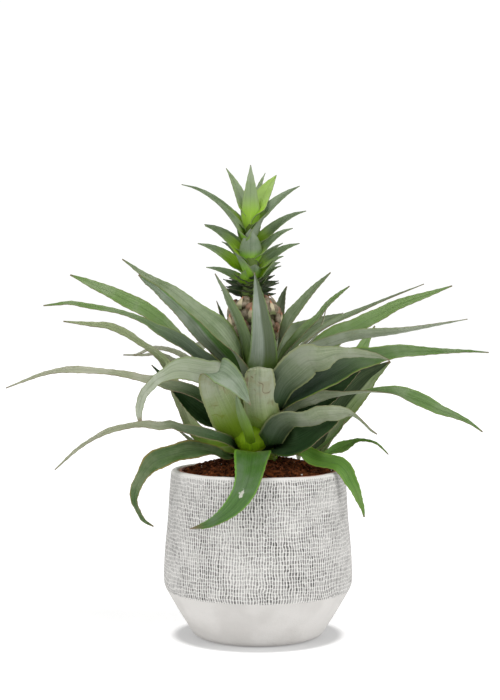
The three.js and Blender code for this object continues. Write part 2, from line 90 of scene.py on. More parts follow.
# Counts, and the turn from one eye or scale to the next
ROUND_SIDES = 128
WEAVE_COLUMNS = 220
LEAF_COLUMNS = 12
LEAF_ROWS = 72
CROWN_COLUMNS = 6
CROWN_ROWS = 18
CROWN_BACK_LEAVES = 12
CROWN_SCALES = 38
BRACT_ROWS = 8
FRUIT_EYES = 22
SPIRAL_TURN = 137.5


# Shader nodes

class Signal:
    """One output of a shader node, which takes part in sums like a number."""

    def __init__(self, tree, socket):
        self.tree = tree
        self.socket = socket

    def maths(self, operation, other=0.0):
        return add_node(self.tree, "Math", {0: self, 1: other}, operation=operation)

    def __add__(self, other):
        return self.maths("ADD", other)

    def __sub__(self, other):
        return self.maths("SUBTRACT", other)

    def __mul__(self, other):
        return self.maths("MULTIPLY", other)

    def __truediv__(self, other):
        return self.maths("DIVIDE", other)

    def __pow__(self, other):
        return self.maths("POWER", other)

    def __abs__(self):
        return self.maths("ABSOLUTE")


def plug(tree, socket, value):
    """Links a signal to an input, or sets the input to a number or a colour."""
    if isinstance(value, Signal):
        tree.links.new(value.socket, socket)
    elif socket.type == "RGBA":
        socket.default_value = (*value, 1.0)
    else:
        socket.default_value = value


def add_node(tree, kind, inputs, output=0, **settings):
    """A new shader node with its settings and inputs, as the signal of one of its outputs."""
    node = tree.nodes.new("ShaderNode" + kind)
    for name, value in settings.items():
        setattr(node, name, value)
    for key, value in inputs.items():
        plug(tree, node.inputs[key], value)
    return Signal(tree, node.outputs[output])


def coordinates(tree, kind):
    return add_node(tree, "TexCoord", {}, kind)


def value_of(tree, name):
    """A number that mark_leaf has written on the mesh."""
    return add_node(tree, "Attribute", {}, "Fac", attribute_name=name)


def axes(place):
    return [add_node(place.tree, "SeparateXYZ", {0: place}, axis) for axis in range(3)]


def vector(x, y):
    return add_node(x.tree, "CombineXYZ", {0: x, 1: y})


def magnitude(place):
    return add_node(place.tree, "VectorMath", {0: place}, "Value", operation="LENGTH")


def stretched(place, scale):
    return add_node(place.tree, "Mapping", {"Vector": place, "Scale": scale})


def grain(place, scale, detail=3.0, roughness=0.55):
    inputs = {"Vector": place, "Scale": scale, "Detail": detail, "Roughness": roughness}
    return add_node(place.tree, "TexNoise", inputs)


def chance(cell, key, dimensions):
    """A random number for each whole cell."""
    return add_node(cell.tree, "TexWhiteNoise", {key: cell}, "Value", noise_dimensions=dimensions)


def ramp(value, start, end):
    """A smooth rise from 0 where the value is at start to 1 where it is at end."""
    inputs = {"Value": value, "From Min": start, "From Max": end}
    return add_node(value.tree, "MapRange", inputs, interpolation_type="SMOOTHSTEP")


def wobble(noise_signal, amount):
    return (noise_signal - 0.5) * amount


def blended(share, first, second):
    return add_node(share.tree, "Mix", {0: share, 6: first, 7: second}, 2, data_type="RGBA")


def finish(name, roughness, specular=0.5):
    material = bpy.data.materials.new(name)
    material.use_nodes = True
    shader = material.node_tree.nodes["Principled BSDF"]
    shader.inputs["Roughness"].default_value = roughness
    shader.inputs["Specular IOR Level"].default_value = specular
    return material, material.node_tree


def coated(material, colour, height, strength, depth):
    """Gives a material its colour and a fine relief, its depth in millimetres."""
    tree = material.node_tree
    shader = tree.nodes["Principled BSDF"]
    plug(tree, shader.inputs["Base Color"], colour)
    relief = {"Height": height, "Strength": strength, "Distance": depth * MM}
    plug(tree, shader.inputs["Normal"], add_node(tree, "Bump", relief))
    return material


# Finishes

def with_scurf(colour, uv, place, bloom, amount):
    """Pale scurf in faint cross bands, and brown freckles."""
    bands = grain(stretched(uv, (5, 90, 1)), 1.0, 3.0, 0.7)
    colour = blended(ramp(bands, 0.48, 0.66) * amount, colour, bloom)
    freckles = grain(place, 420.0, 2.0)
    return blended(ramp(freckles, 0.66, 0.74) * 0.35, colour, (0.16, 0.08, 0.035))


def with_dark_half(colour, across, ribs, lines, streak, shade):
    """One side of the blade in another tone, with an uneven edge along the midrib: painted shade on the two
    sided and half lit skins, a bright green streak on the green streaked skin.
    """
    tint, start, end = shade
    half = across + wobble(ribs, 0.12)
    dark = blended(ramp(lines, 0.4, 0.7) * 0.12, tint, streak)
    return blended(ramp(half, start, end) * 0.9, colour, dark)


def with_creases(colour, place):
    """Brown crease lines and tan wear, where the leaf has been bent."""
    swirl = grain(stretched(place, (1, 1, 0.5)), 44.0, 2.0)
    worn = ramp(grain(place, 70.0, 2.0), 0.50, 0.60)
    lines = ramp(abs(swirl - 0.5), 0.016, 0.004) * worn
    colour = blended(lines * 0.75, colour, (0.10, 0.055, 0.020))
    return blended(worn * 0.30, colour, (0.27, 0.22, 0.10))


def with_scar(colour, uv, across, along, spot):
    """A small frayed tear that shows pale."""
    frayed = stretched(vector(across - spot[0], along - spot[1]), (3.4, 13, 1))
    fray = grain(stretched(uv, (9, 60, 1)), 1.0, 4.0, 0.7)
    torn = magnitude(frayed) + fray * 1.3
    return blended(ramp(torn, 1.00, 0.88), colour, (0.52, 0.53, 0.46))


def leaf_finish(name, body, streak, bloom, root, edge, scurf=0.0, roughness=0.44, specular=0.5, dry=0.98,
                scar=None, shade=None, creased=False):
    """Strap-leaf skin: fine lines along the blade, waxy bloom in patches, yellow-green foot,
    a darker midrib, a coloured band inside the margin and a dry tip."""
    material, tree = finish(name, roughness, specular)
    uv = coordinates(tree, "UV")
    place = coordinates(tree, "Object")
    across, along, _ = axes(uv)
    from_middle = abs(across - 0.5)
    lines = grain(stretched(uv, (34, 1.6, 1)), 1.0, 3.0, 0.6)
    ribs = grain(stretched(uv, (12, 0.7, 1)), 1.0, 2.0)
    reach = along + wobble(lines, 0.10)
    midrib = tuple(0.5 * (body[i] + DARK_MIDRIB[i]) for i in range(3))
    colour = blended(ramp(lines, 0.40, 0.64), body, streak)
    colour = blended(ramp(grain(place, 48.0), 0.42, 0.66), colour, bloom)
    colour = blended(ramp(ribs, 0.45, 0.7) * 0.35, colour, streak)
    colour = blended(ramp(from_middle, 0.045, 0.008) * 0.4, colour, midrib)
    if scurf:
        colour = with_scurf(colour, uv, place, bloom, scurf)
    if shade:
        colour = with_dark_half(colour, across, ribs, lines, streak, shade)
    if creased:
        colour = with_creases(colour, place)
    colour = blended(ramp(reach / value_of(tree, "foot"), 1.0, 0.42), colour, root)
    colour = blended(ramp(from_middle, 0.42, 0.48) * 0.7, colour, edge)
    if scar:
        colour = with_scar(colour, uv, across, along, scar)
    colour = blended(ramp(reach, dry, 1.0), colour, DRY_TIP)
    toned = add_node(tree, "HueSaturation", {"Value": value_of(tree, "tone"), "Color": colour})
    return coated(material, toned, lines + ribs * 1.6, 0.6, 1.0)


def speckled_finish(name, low, high, scale, span, relief, detail, harshness, roughness=0.5, specular=0.5,
                    stretch=(1, 1, 1)):
    """A skin blotched between two tones by one noise, which also roughens it."""
    material, tree = finish(name, roughness, specular)
    speckle = grain(stretched(coordinates(tree, "Object"), stretch), scale, detail, harshness)
    return coated(material, blended(ramp(speckle, *span), low, high), speckle, *relief)


def margin_finish(name, low, high):
    """Horny leaf margin with its small spines."""
    return speckled_finish(name, low, high, 260.0, (0.35, 0.65), (0.3, 0.3), 3.0, 0.55)


def nursery_finish():
    """Terracotta-coloured plastic of the nursery pot, lightly scuffed."""
    return speckled_finish("terracotta nursery plastic", (0.33, 0.09, 0.035), (0.42, 0.14, 0.06), 40.0,
                           (0.4, 0.7), (0.25, 0.4), 4.0, 0.55, 0.42, stretch=(1, 1, 7.5))


def soil_finish(name, low, high, scale):
    """Peaty potting mix, dark red-brown."""
    return speckled_finish(name, low, high, scale, (0.36, 0.68), (0.9, 1.6), 6.0, 0.7, 1.0, 0.1)


def fruit_finish(name, low, high):
    """Mealy skin of the young fruit."""
    return speckled_finish(name, low, high, 260.0, (0.36, 0.64), (0.5, 0.5), 4.0, 0.6, 0.5, 0.4)


def bract_finish():
    """Pointed bract: olive foot, cream middle, orange-red tip."""
    material, tree = finish("fruit bract", 0.5, 0.4)
    uv = coordinates(tree, "UV")
    lines = grain(stretched(uv, (18, 1.5, 1)), 1.0)
    along = axes(uv)[1] + wobble(lines, 0.2)
    colour = blended(ramp(along, 0.12, 0.42), (0.13, 0.15, 0.05), (0.60, 0.52, 0.34))
    colour = blended(ramp(along, 0.68, 0.90), colour, (0.55, 0.19, 0.10))
    return coated(material, colour, lines, 0.4, 0.4)


def weave_dents(place, x, y, z):
    """Rows of small oblong dents; rows and columns waver, and each dent has its own depth."""
    turn = y.maths("ARCTAN2", x) / (2 * math.pi)
    sway = wobble(grain(place, 150.0), 1.2) + wobble(grain(place, 40.0, 2.0), 1.8)
    column = turn * WEAVE_COLUMNS + sway
    this_column = column.maths("FLOOR")
    drift = wobble(grain(stretched(place, (1, 1, 2.4)), 42.0), 2.2)
    row = z * (1 / (WEAVE_ROW * MM)) + (drift + chance(this_column, "W", "1D") * 0.22)
    side = abs(column.maths("FRACT") - 0.5)
    rise = abs(row.maths("FRACT") - 0.5)
    bulge = (side / 0.29) ** 2.6 + (rise / 0.43) ** 3.0
    cell = vector(this_column, row.maths("FLOOR"))
    patchy = ramp(grain(place, 34.0, 4.0, 0.65), 0.32, 0.60)
    depth = (chance(cell, "Vector", "2D") * 0.42 + 0.58) * (patchy * 0.38 + 0.62)
    return ramp(bulge, 1.6, 0.8) * depth


def stoneware_finish():
    """Matt off-white stoneware: rows of small dark dents above the shoulder, plain below."""
    material, tree = finish("woven stamped stoneware", 0.78, 0.3)
    place = coordinates(tree, "Object")
    x, y, z = axes(place)
    thread = grain(stretched(place, (55, 55, 850)), 1.0, 2.0)
    mark = weave_dents(place, x, y, z).maths("MAXIMUM", ramp(thread, 0.57, 0.70) * 0.30)
    above_shoulder = ramp(z, WEAVE_LOW * MM, (WEAVE_LOW + 1.2) * MM)
    below_lip = ramp(z, WEAVE_HIGH * MM, (WEAVE_HIGH - 2.6) * MM)
    outside = ramp((x * x + y * y).maths("SQRT"), (POT_RIM_RADIUS - 1.3) * MM, (POT_RIM_RADIUS - 0.7) * MM)
    mark = mark * (above_shoulder * below_lip * outside)
    clay = blended(ramp(grain(place, 30.0), 0.35, 0.65), (0.585, 0.567, 0.545), (0.655, 0.637, 0.615))
    clay = blended(ramp(grain(place, 800.0, 2.0), 0.62, 0.75) * 0.35, clay, (0.52, 0.49, 0.44))
    clay = blended(ramp(z, (POT_HEIGHT - 3.5) * MM, (POT_HEIGHT - 1.5) * MM), clay, (0.76, 0.74, 0.715))
    clay = blended(above_shoulder * outside, clay, (0.76, 0.745, 0.72))
    colour = blended(mark, clay, (0.095, 0.093, 0.088))
    stipple = grain(stretched(place, (1, 1, 1.5)), 420.0, 3.0, 0.7)
    return coated(material, colour, mark * -1.0 + stipple * 0.55, 0.8, 0.7)


def floor_finish():
    """White floor, with a soft grey painted shadow round the pot's foot."""
    material, tree = finish("pale studio floor", 0.9, 0.2)
    shader = tree.nodes["Principled BSDF"]
    place = coordinates(tree, "Object")
    # clear is 0 inside the painted shadow round the pot's foot, where the floor is grey and glows less, and
    # 1 beyond it
    clear = ramp(magnitude(place), FLOOR_PAINTED_SHADOW_INNER * MM, FLOOR_PAINTED_SHADOW_RADIUS * MM)
    white = blended(grain(place, 40.0, 2.0), (0.93, 0.93, 0.93), (0.95, 0.95, 0.95))
    plug(tree, shader.inputs["Base Color"], blended(clear, (0.45, 0.45, 0.45), white))
    plug(tree, shader.inputs["Emission Color"], (1, 1, 1))
    seen = add_node(tree, "LightPath", {}, "Is Camera Ray")
    plug(tree, shader.inputs["Emission Strength"], seen * (clear * FLOOR_GLOW_BEYOND_SHADOW) + FLOOR_GLOW)
    return material


DARK_MIDRIB = (0.02, 0.035, 0.01)
DRY_TIP = (0.20, 0.14, 0.065)
# Body, streak and bloom colours that several skins share
FRESH = ((0.085, 0.185, 0.030), (0.15, 0.26, 0.07), (0.19, 0.285, 0.12))
LIGHT = ((0.125, 0.235, 0.050), (0.20, 0.31, 0.10), (0.24, 0.33, 0.155))
PALE = ((0.235, 0.285, 0.155), (0.31, 0.35, 0.215), (0.37, 0.405, 0.285))
ROOT_GREEN = (0.15, 0.27, 0.008)
PALE_ROOT = (0.17, 0.275, 0.010)
SKINS = {
    "silver": leaf_finish(
        "silvery leaf face", (0.27, 0.325, 0.20), (0.37, 0.42, 0.29), (0.43, 0.47, 0.36),
        (0.045, 0.095, 0.018), (0.20, 0.27, 0.09)),
    # Painted sheen and shade: the pale half of this skin is painted sheen on the lit side of the channelled
    # blade, the dark half is painted shade
    "two sided": leaf_finish(
        "leaf face with painted sheen and painted shade halves", (0.215, 0.265, 0.20), (0.30, 0.345, 0.275), (0.34, 0.38, 0.325),
        ROOT_GREEN, (0.17, 0.27, 0.06), shade=((0.060, 0.090, 0.030), 0.53, 0.44)),
    "glaucous": leaf_finish(
        "glaucous leaf face", (0.145, 0.205, 0.115), (0.23, 0.295, 0.19), (0.28, 0.335, 0.25), ROOT_GREEN,
        (0.17, 0.27, 0.06)),
    "olive": leaf_finish(
        "olive leaf face", (0.12, 0.175, 0.075), (0.185, 0.245, 0.12), (0.23, 0.285, 0.17), ROOT_GREEN,
        (0.17, 0.25, 0.05)),
    "fresh": leaf_finish("fresh green leaf face", *FRESH, ROOT_GREEN, (0.20, 0.33, 0.04)),
    "light": leaf_finish("light green leaf face", *LIGHT, ROOT_GREEN, (0.22, 0.28, 0.06)),
    "cream": leaf_finish(
        "cream green leaf face", (0.31, 0.345, 0.205), (0.39, 0.41, 0.27), (0.44, 0.45, 0.33),
        (0.045, 0.095, 0.028), (0.24, 0.21, 0.10)),
    "half lit": leaf_finish(
        "half lit leaf face", (0.16, 0.235, 0.085), (0.22, 0.29, 0.13), (0.27, 0.32, 0.19),
        (0.15, 0.20, 0.07), (0.20, 0.26, 0.06), roughness=0.6, specular=0.2,
        shade=((0.005, 0.020, 0.003), 0.72, 0.64)),
    "green streaked": leaf_finish(
        "green streaked leaf face", (0.135, 0.19, 0.110), (0.205, 0.27, 0.17), (0.25, 0.30, 0.22),
        ROOT_GREEN, (0.19, 0.22, 0.08), shade=((0.085, 0.215, 0.025), 0.60, 0.68)),
    "weathered": leaf_finish(
        "weathered green leaf face", (0.038, 0.082, 0.016), (0.070, 0.125, 0.032), (0.115, 0.155, 0.068),
        ROOT_GREEN, (0.27, 0.19, 0.03)),
    "pale dark footed": leaf_finish(
        "pale leaf underside with a shaded foot", (0.20, 0.25, 0.135), (0.27, 0.315, 0.19),
        (0.33, 0.365, 0.26), (0.022, 0.050, 0.014), (0.22, 0.25, 0.10), 0.35, 0.5),
    "grey footed": leaf_finish(
        "light green leaf face with a grey foot", *LIGHT, (0.100, 0.145, 0.085), (0.22, 0.28, 0.06)),
    "dark footed": leaf_finish(
        "fresh green leaf face with a shaded foot", *FRESH, (0.010, 0.032, 0.010), (0.20, 0.33, 0.04)),
    "lime footed": leaf_finish(
        "cream leaf face with a lime foot", (0.27, 0.335, 0.155), (0.35, 0.41, 0.21), (0.40, 0.44, 0.27),
        (0.20, 0.34, 0.015), (0.24, 0.24, 0.09)),
    # Painted shade: a near-black green for leaves in deep shade inside the rosette, and for a filler leaf
    # in a shaded gap
    "shaded": leaf_finish(
        "leaf face in painted deep shade", (0.010, 0.032, 0.008), (0.022, 0.055, 0.014),
        (0.030, 0.062, 0.022), (0.012, 0.030, 0.006), (0.050, 0.110, 0.015), roughness=0.7, specular=0.15),
    "bright": leaf_finish(
        "bright green leaf face", (0.070, 0.195, 0.012), (0.125, 0.265, 0.030), (0.15, 0.27, 0.05),
        ROOT_GREEN, (0.19, 0.34, 0.02)),
    "scarred": leaf_finish(
        "torn green leaf face", (0.040, 0.120, 0.012), (0.070, 0.165, 0.028), (0.095, 0.165, 0.070),
        ROOT_GREEN, (0.15, 0.36, 0.02), dry=0.90, scar=(0.55, 0.66)),
    "deep": leaf_finish(
        "deep green leaf face", (0.030, 0.080, 0.022), (0.060, 0.125, 0.045), (0.085, 0.145, 0.075),
        ROOT_GREEN, (0.13, 0.22, 0.03)),
    "pale": leaf_finish("pale leaf underside", *PALE, PALE_ROOT, (0.25, 0.28, 0.11), 0.35, 0.5),
    "creased": leaf_finish(
        "creased pale leaf underside", *PALE, PALE_ROOT, (0.25, 0.28, 0.11), 0.35, 0.5, creased=True),
    "grey": leaf_finish(
        "grey leaf underside", (0.165, 0.21, 0.12), (0.235, 0.28, 0.175), (0.28, 0.32, 0.23), PALE_ROOT,
        (0.20, 0.24, 0.08), 0.3, 0.5),
    "sheath": leaf_finish(
        "yellow green leaf base", (0.105, 0.200, 0.001), (0.155, 0.275, 0.003), (0.19, 0.31, 0.01),
        (0.28, 0.38, 0.02), (0.16, 0.24, 0.01), roughness=0.62, specular=0.12),
    "crown": leaf_finish(
        "crown leaf face", (0.125, 0.195, 0.082), (0.185, 0.262, 0.125), (0.24, 0.31, 0.19),
        (0.27, 0.47, 0.008), (0.17, 0.25, 0.06)),
    "crown lime": leaf_finish(
        "lime crown leaf face", (0.27, 0.43, 0.07), (0.35, 0.52, 0.12), (0.38, 0.54, 0.18),
        (0.32, 0.54, 0.03), (0.34, 0.46, 0.12)),
    "crown pale": leaf_finish(
        "pale crown leaf face", (0.21, 0.30, 0.13), (0.29, 0.38, 0.19), (0.34, 0.42, 0.26),
        (0.30, 0.52, 0.03), (0.28, 0.38, 0.12)),
    "crown under": leaf_finish(
        "crown leaf underside", (0.13, 0.195, 0.10), (0.19, 0.26, 0.15), (0.25, 0.305, 0.21),
        (0.22, 0.44, 0.02), (0.17, 0.23, 0.08), 0.3, 0.5),
    "scale": leaf_finish(
        "dark crown scale", (0.022, 0.050, 0.014), (0.050, 0.085, 0.028), (0.075, 0.095, 0.055),
        (0.10, 0.17, 0.01), (0.08, 0.06, 0.04)),
}
MARGIN = margin_finish("purple brown leaf margin", (0.13, 0.065, 0.045), (0.20, 0.19, 0.08))
PALE_MARGIN = margin_finish("pale leaf margin", (0.13, 0.16, 0.07), (0.22, 0.28, 0.12))
SCALE_MARGIN = margin_finish("dark scale margin", (0.035, 0.030, 0.018), (0.075, 0.080, 0.040))


# Shapes

def stem_radius(height):
    """Outside of the heart of packed leaf bases at a height."""
    return float(np.interp(height, [108, 172, 192, 212, 223, 234], [19.5, 19.5, 17.5, 13, 8.5, 7]))


def outward(azimuth):
    turn = math.radians(azimuth)
    return np.array([math.cos(turn), math.sin(turn), 0])


def smooth(value, low, high):
    share = np.clip((value - low) / (high - low), 0, 1)
    return share * share * (3 - 2 * share)


def unit_rows(rows):
    return rows / np.linalg.norm(rows, axis=1)[:, None]


def curve_stations(points, count):
    """Places and directions at even steps along a smooth curve through the points."""
    knots = [np.array(point, float) for point in points]
    knots = [2 * knots[0] - knots[1], *knots, 2 * knots[-1] - knots[-2]]
    track = []
    share = np.linspace(0, 1, 32, endpoint=False)[:, None]
    for a, b, c, d in zip(knots, knots[1:], knots[2:], knots[3:]):
        first, middle, last = (math.sqrt(np.linalg.norm(q - p)) for p, q in ((a, b), (b, c), (c, d)))
        leave = ((b - a) / first - (c - a) / (first + middle) + (c - b) / middle) * middle
        arrive = ((c - b) / middle - (d - b) / (middle + last) + (d - c) / last) * middle
        track.append(b + leave * share + (3 * (c - b) - 2 * leave - arrive) * share ** 2
                     + (2 * (b - c) + leave + arrive) * share ** 3)
    track = np.vstack([*track, knots[-2]])
    length = np.concatenate([[0], np.cumsum(np.linalg.norm(np.diff(track, axis=0), axis=1))])
    wanted = np.linspace(0, length[-1], count)
    centre = np.stack([np.interp(wanted, length, track[:, axis]) for axis in range(3)], axis=1)
    return centre, unit_rows(np.gradient(centre, axis=0)), length[-1]


def blade_frame(side, along, turn):
    """The side and lift directions square to the midrib, rolled about it by a turn at each row."""
    side = unit_rows(side - along * np.sum(side * along, axis=1)[:, None])
    lift = np.cross(along, side)
    return side * np.cos(turn) + lift * np.sin(turn), lift * np.cos(turn) - side * np.sin(turn)


def blade_piece(name, columns, rows, thickness, skins, shape):
    """A grid laid along a curve by a shape function of (across -1..1, row), then thickened."""
    bpy.ops.mesh.primitive_grid_add(x_subdivisions=columns, y_subdivisions=rows, size=1)
    leaf = bpy.context.object
    leaf.name = leaf.data.name = name
    mesh = leaf.data
    flat = np.empty(3 * len(mesh.vertices))
    mesh.vertices.foreach_get("co", flat)
    flat = flat.reshape(-1, 3)
    across = -2 * flat[:, 0]
    row = np.rint((flat[:, 1] + 0.5) * rows).astype(int)
    mesh.vertices.foreach_set("co", (shape(across, row) * MM).ravel())
    for skin in skins:
        mesh.materials.append(skin)
    thicken(leaf, thickness, 1 - 0.6 * np.abs(across) ** 3)
    bpy.ops.object.shade_smooth_by_angle(angle=math.radians(50))
    return leaf


def thicken(leaf, thickness, shares):
    """Makes a sheet solid, thinner towards its margins, with its own underside and margin skins."""
    flesh = leaf.vertex_groups.new(name="flesh")
    for vertex, share in zip(leaf.data.vertices, shares):
        flesh.add([vertex.index], float(share), "REPLACE")
    solid = leaf.modifiers.new("thickness", "SOLIDIFY")
    solid.thickness = thickness * MM
    solid.offset = 0
    solid.vertex_group = "flesh"
    solid.thickness_vertex_group = 0.35
    solid.material_offset = 1
    solid.material_offset_rim = 2
    bpy.ops.object.modifier_apply(modifier="thickness")
    leaf.vertex_groups.clear()


def mark_leaf(leaf, tone, foot):
    """The leaf's own lightness, and the share of its length where the yellow-green foot ends."""
    for name, value in (("tone", tone), ("foot", foot)):
        values = leaf.data.attributes.new(name, "FLOAT", "POINT")
        values.data.foreach_set("value", [value] * len(leaf.data.vertices))


def toothed_shape(centre, along, side, lift, reach, climb, teeth, lean, ripple=None):
    """The shape function of a blade by its rows: half width, climb of the edges, teeth and waves."""
    def shape(across, row):
        s = across[:, None]
        rise = climb(np.abs(s), row) * reach[row][:, None]
        if ripple:
            rise = rise + ripple(s, row)
        spine = teeth[row][:, None] * np.where(np.abs(s) > 0.99, np.sign(s), 0)
        return (centre[row] + side[row] * (s * reach[row][:, None] + spine) + lift[row] * rise
                + along[row] * np.abs(spine) * lean)

    return shape


def leaf_breadths(via, width, taper, t, base, centre):
    """Breadth at each row: from the fourth numbers of the midrib points, or a width and a taper."""
    if len(via[0]) == 3:
        swell = 0.86 + 0.14 * smooth(t, base, 0.36) + 0.45 * (1 - smooth(t, 0, base))
        return width * (1 - t ** taper) * swell
    marks = [float(t[np.argmin(np.linalg.norm(centre - point[:3], axis=1))]) for point in via]
    breadth = np.interp(t, [base, *marks], [via[0][3], *(point[3] for point in via)])
    breadth = np.convolve(np.pad(breadth, 2, "edge"), np.ones(5) / 5, "valid")
    return breadth * (1 + 0.45 * (1 - smooth(t, 0, base)))


def leaf_sides(out, chord, t, base, sideways):
    """Side directions by row: round the heart at the foot, then square to the leaf's heading."""
    chord[2] = 0
    heading = 0.6 * out + chord / np.linalg.norm(chord)
    heading /= np.linalg.norm(heading)
    lean = smooth(t, 0.3 * base, 1.6 * base)[:, None]
    facing = out * (1 - lean) + heading * lean
    tangent = np.stack([-facing[:, 1], facing[:, 0], np.zeros_like(t)], axis=1)
    return tangent if sideways is None else tangent * (1 - lean) + np.array(sideways) * lean


def strap_leaf(name, root, via, width=0, roll=(0, 0), wave=0.5, waves=16, taper=1.9, side=None,
               cup=(0.5, 0.55), top="glaucous", under="pale", tone=1, green=34):
    """A rosette leaf: a broad clasping foot on the heart, then a channelled blade to a sharp tip."""
    azimuth, height = root
    points = [point[:3] for point in via]
    out = outward(azimuth)
    foot_height = height - FOOT_DEPTH
    foot_place = out * (stem_radius(foot_height) - FOOT_SINK) + [STEM_X, 0, foot_height]
    root_place = out * (stem_radius(height) - ROOT_SINK) + [STEM_X, 0, height]
    centre, along, length = curve_stations([foot_place, root_place, *points], LEAF_ROWS + 1)
    t = np.linspace(0, 1, LEAF_ROWS + 1)
    base = ROOT_ZONE / length
    chord = centre[-1] - root_place if len(via) < 3 else np.array(points[-2], float) - root_place
    turn = np.interp(t, np.linspace(base, 1, len(roll)), roll) * smooth(t, 0, base * 1.2)
    side, lift = blade_frame(leaf_sides(out, chord, t, base, side), along, np.radians(turn)[:, None])
    breadth = leaf_breadths(via, width, taper, t, base, centre)
    reach = np.maximum(0.5 * breadth, LEAF_TIP_HALF_WIDTH)
    channel = cup[0] * (1 - 0.5 * t) + cup[1] * (1 - smooth(t, 0.2 * base, 1.5 * base))
    every_third = np.where(np.arange(LEAF_ROWS + 1) % 3 == 1, LEAF_SPINE, 0)
    teeth = every_third * smooth(t, base, 1.5 * base) * smooth(t, 1, 0.93)
    swing = random.uniform(0, 6)

    def climb(edge, row):
        return channel[row][:, None] * edge ** 1.4

    def ripple(s, row):
        share = t[row][:, None]
        phase = waves * share + 2.2 * np.sign(s) + swing
        return wave * s ** 2 * np.sin(math.pi * share) * np.sin(phase)

    shape = toothed_shape(centre, along, side, lift, reach, climb, teeth, 0.6, ripple)
    skins = (SKINS[top], SKINS[under], MARGIN)
    leaf = blade_piece(name, LEAF_COLUMNS, LEAF_ROWS, LEAF_THICKNESS, skins, shape)
    mark_leaf(leaf, tone * random.uniform(0.95, 1.05), (FOOT_DEPTH + green) / length)
    return leaf


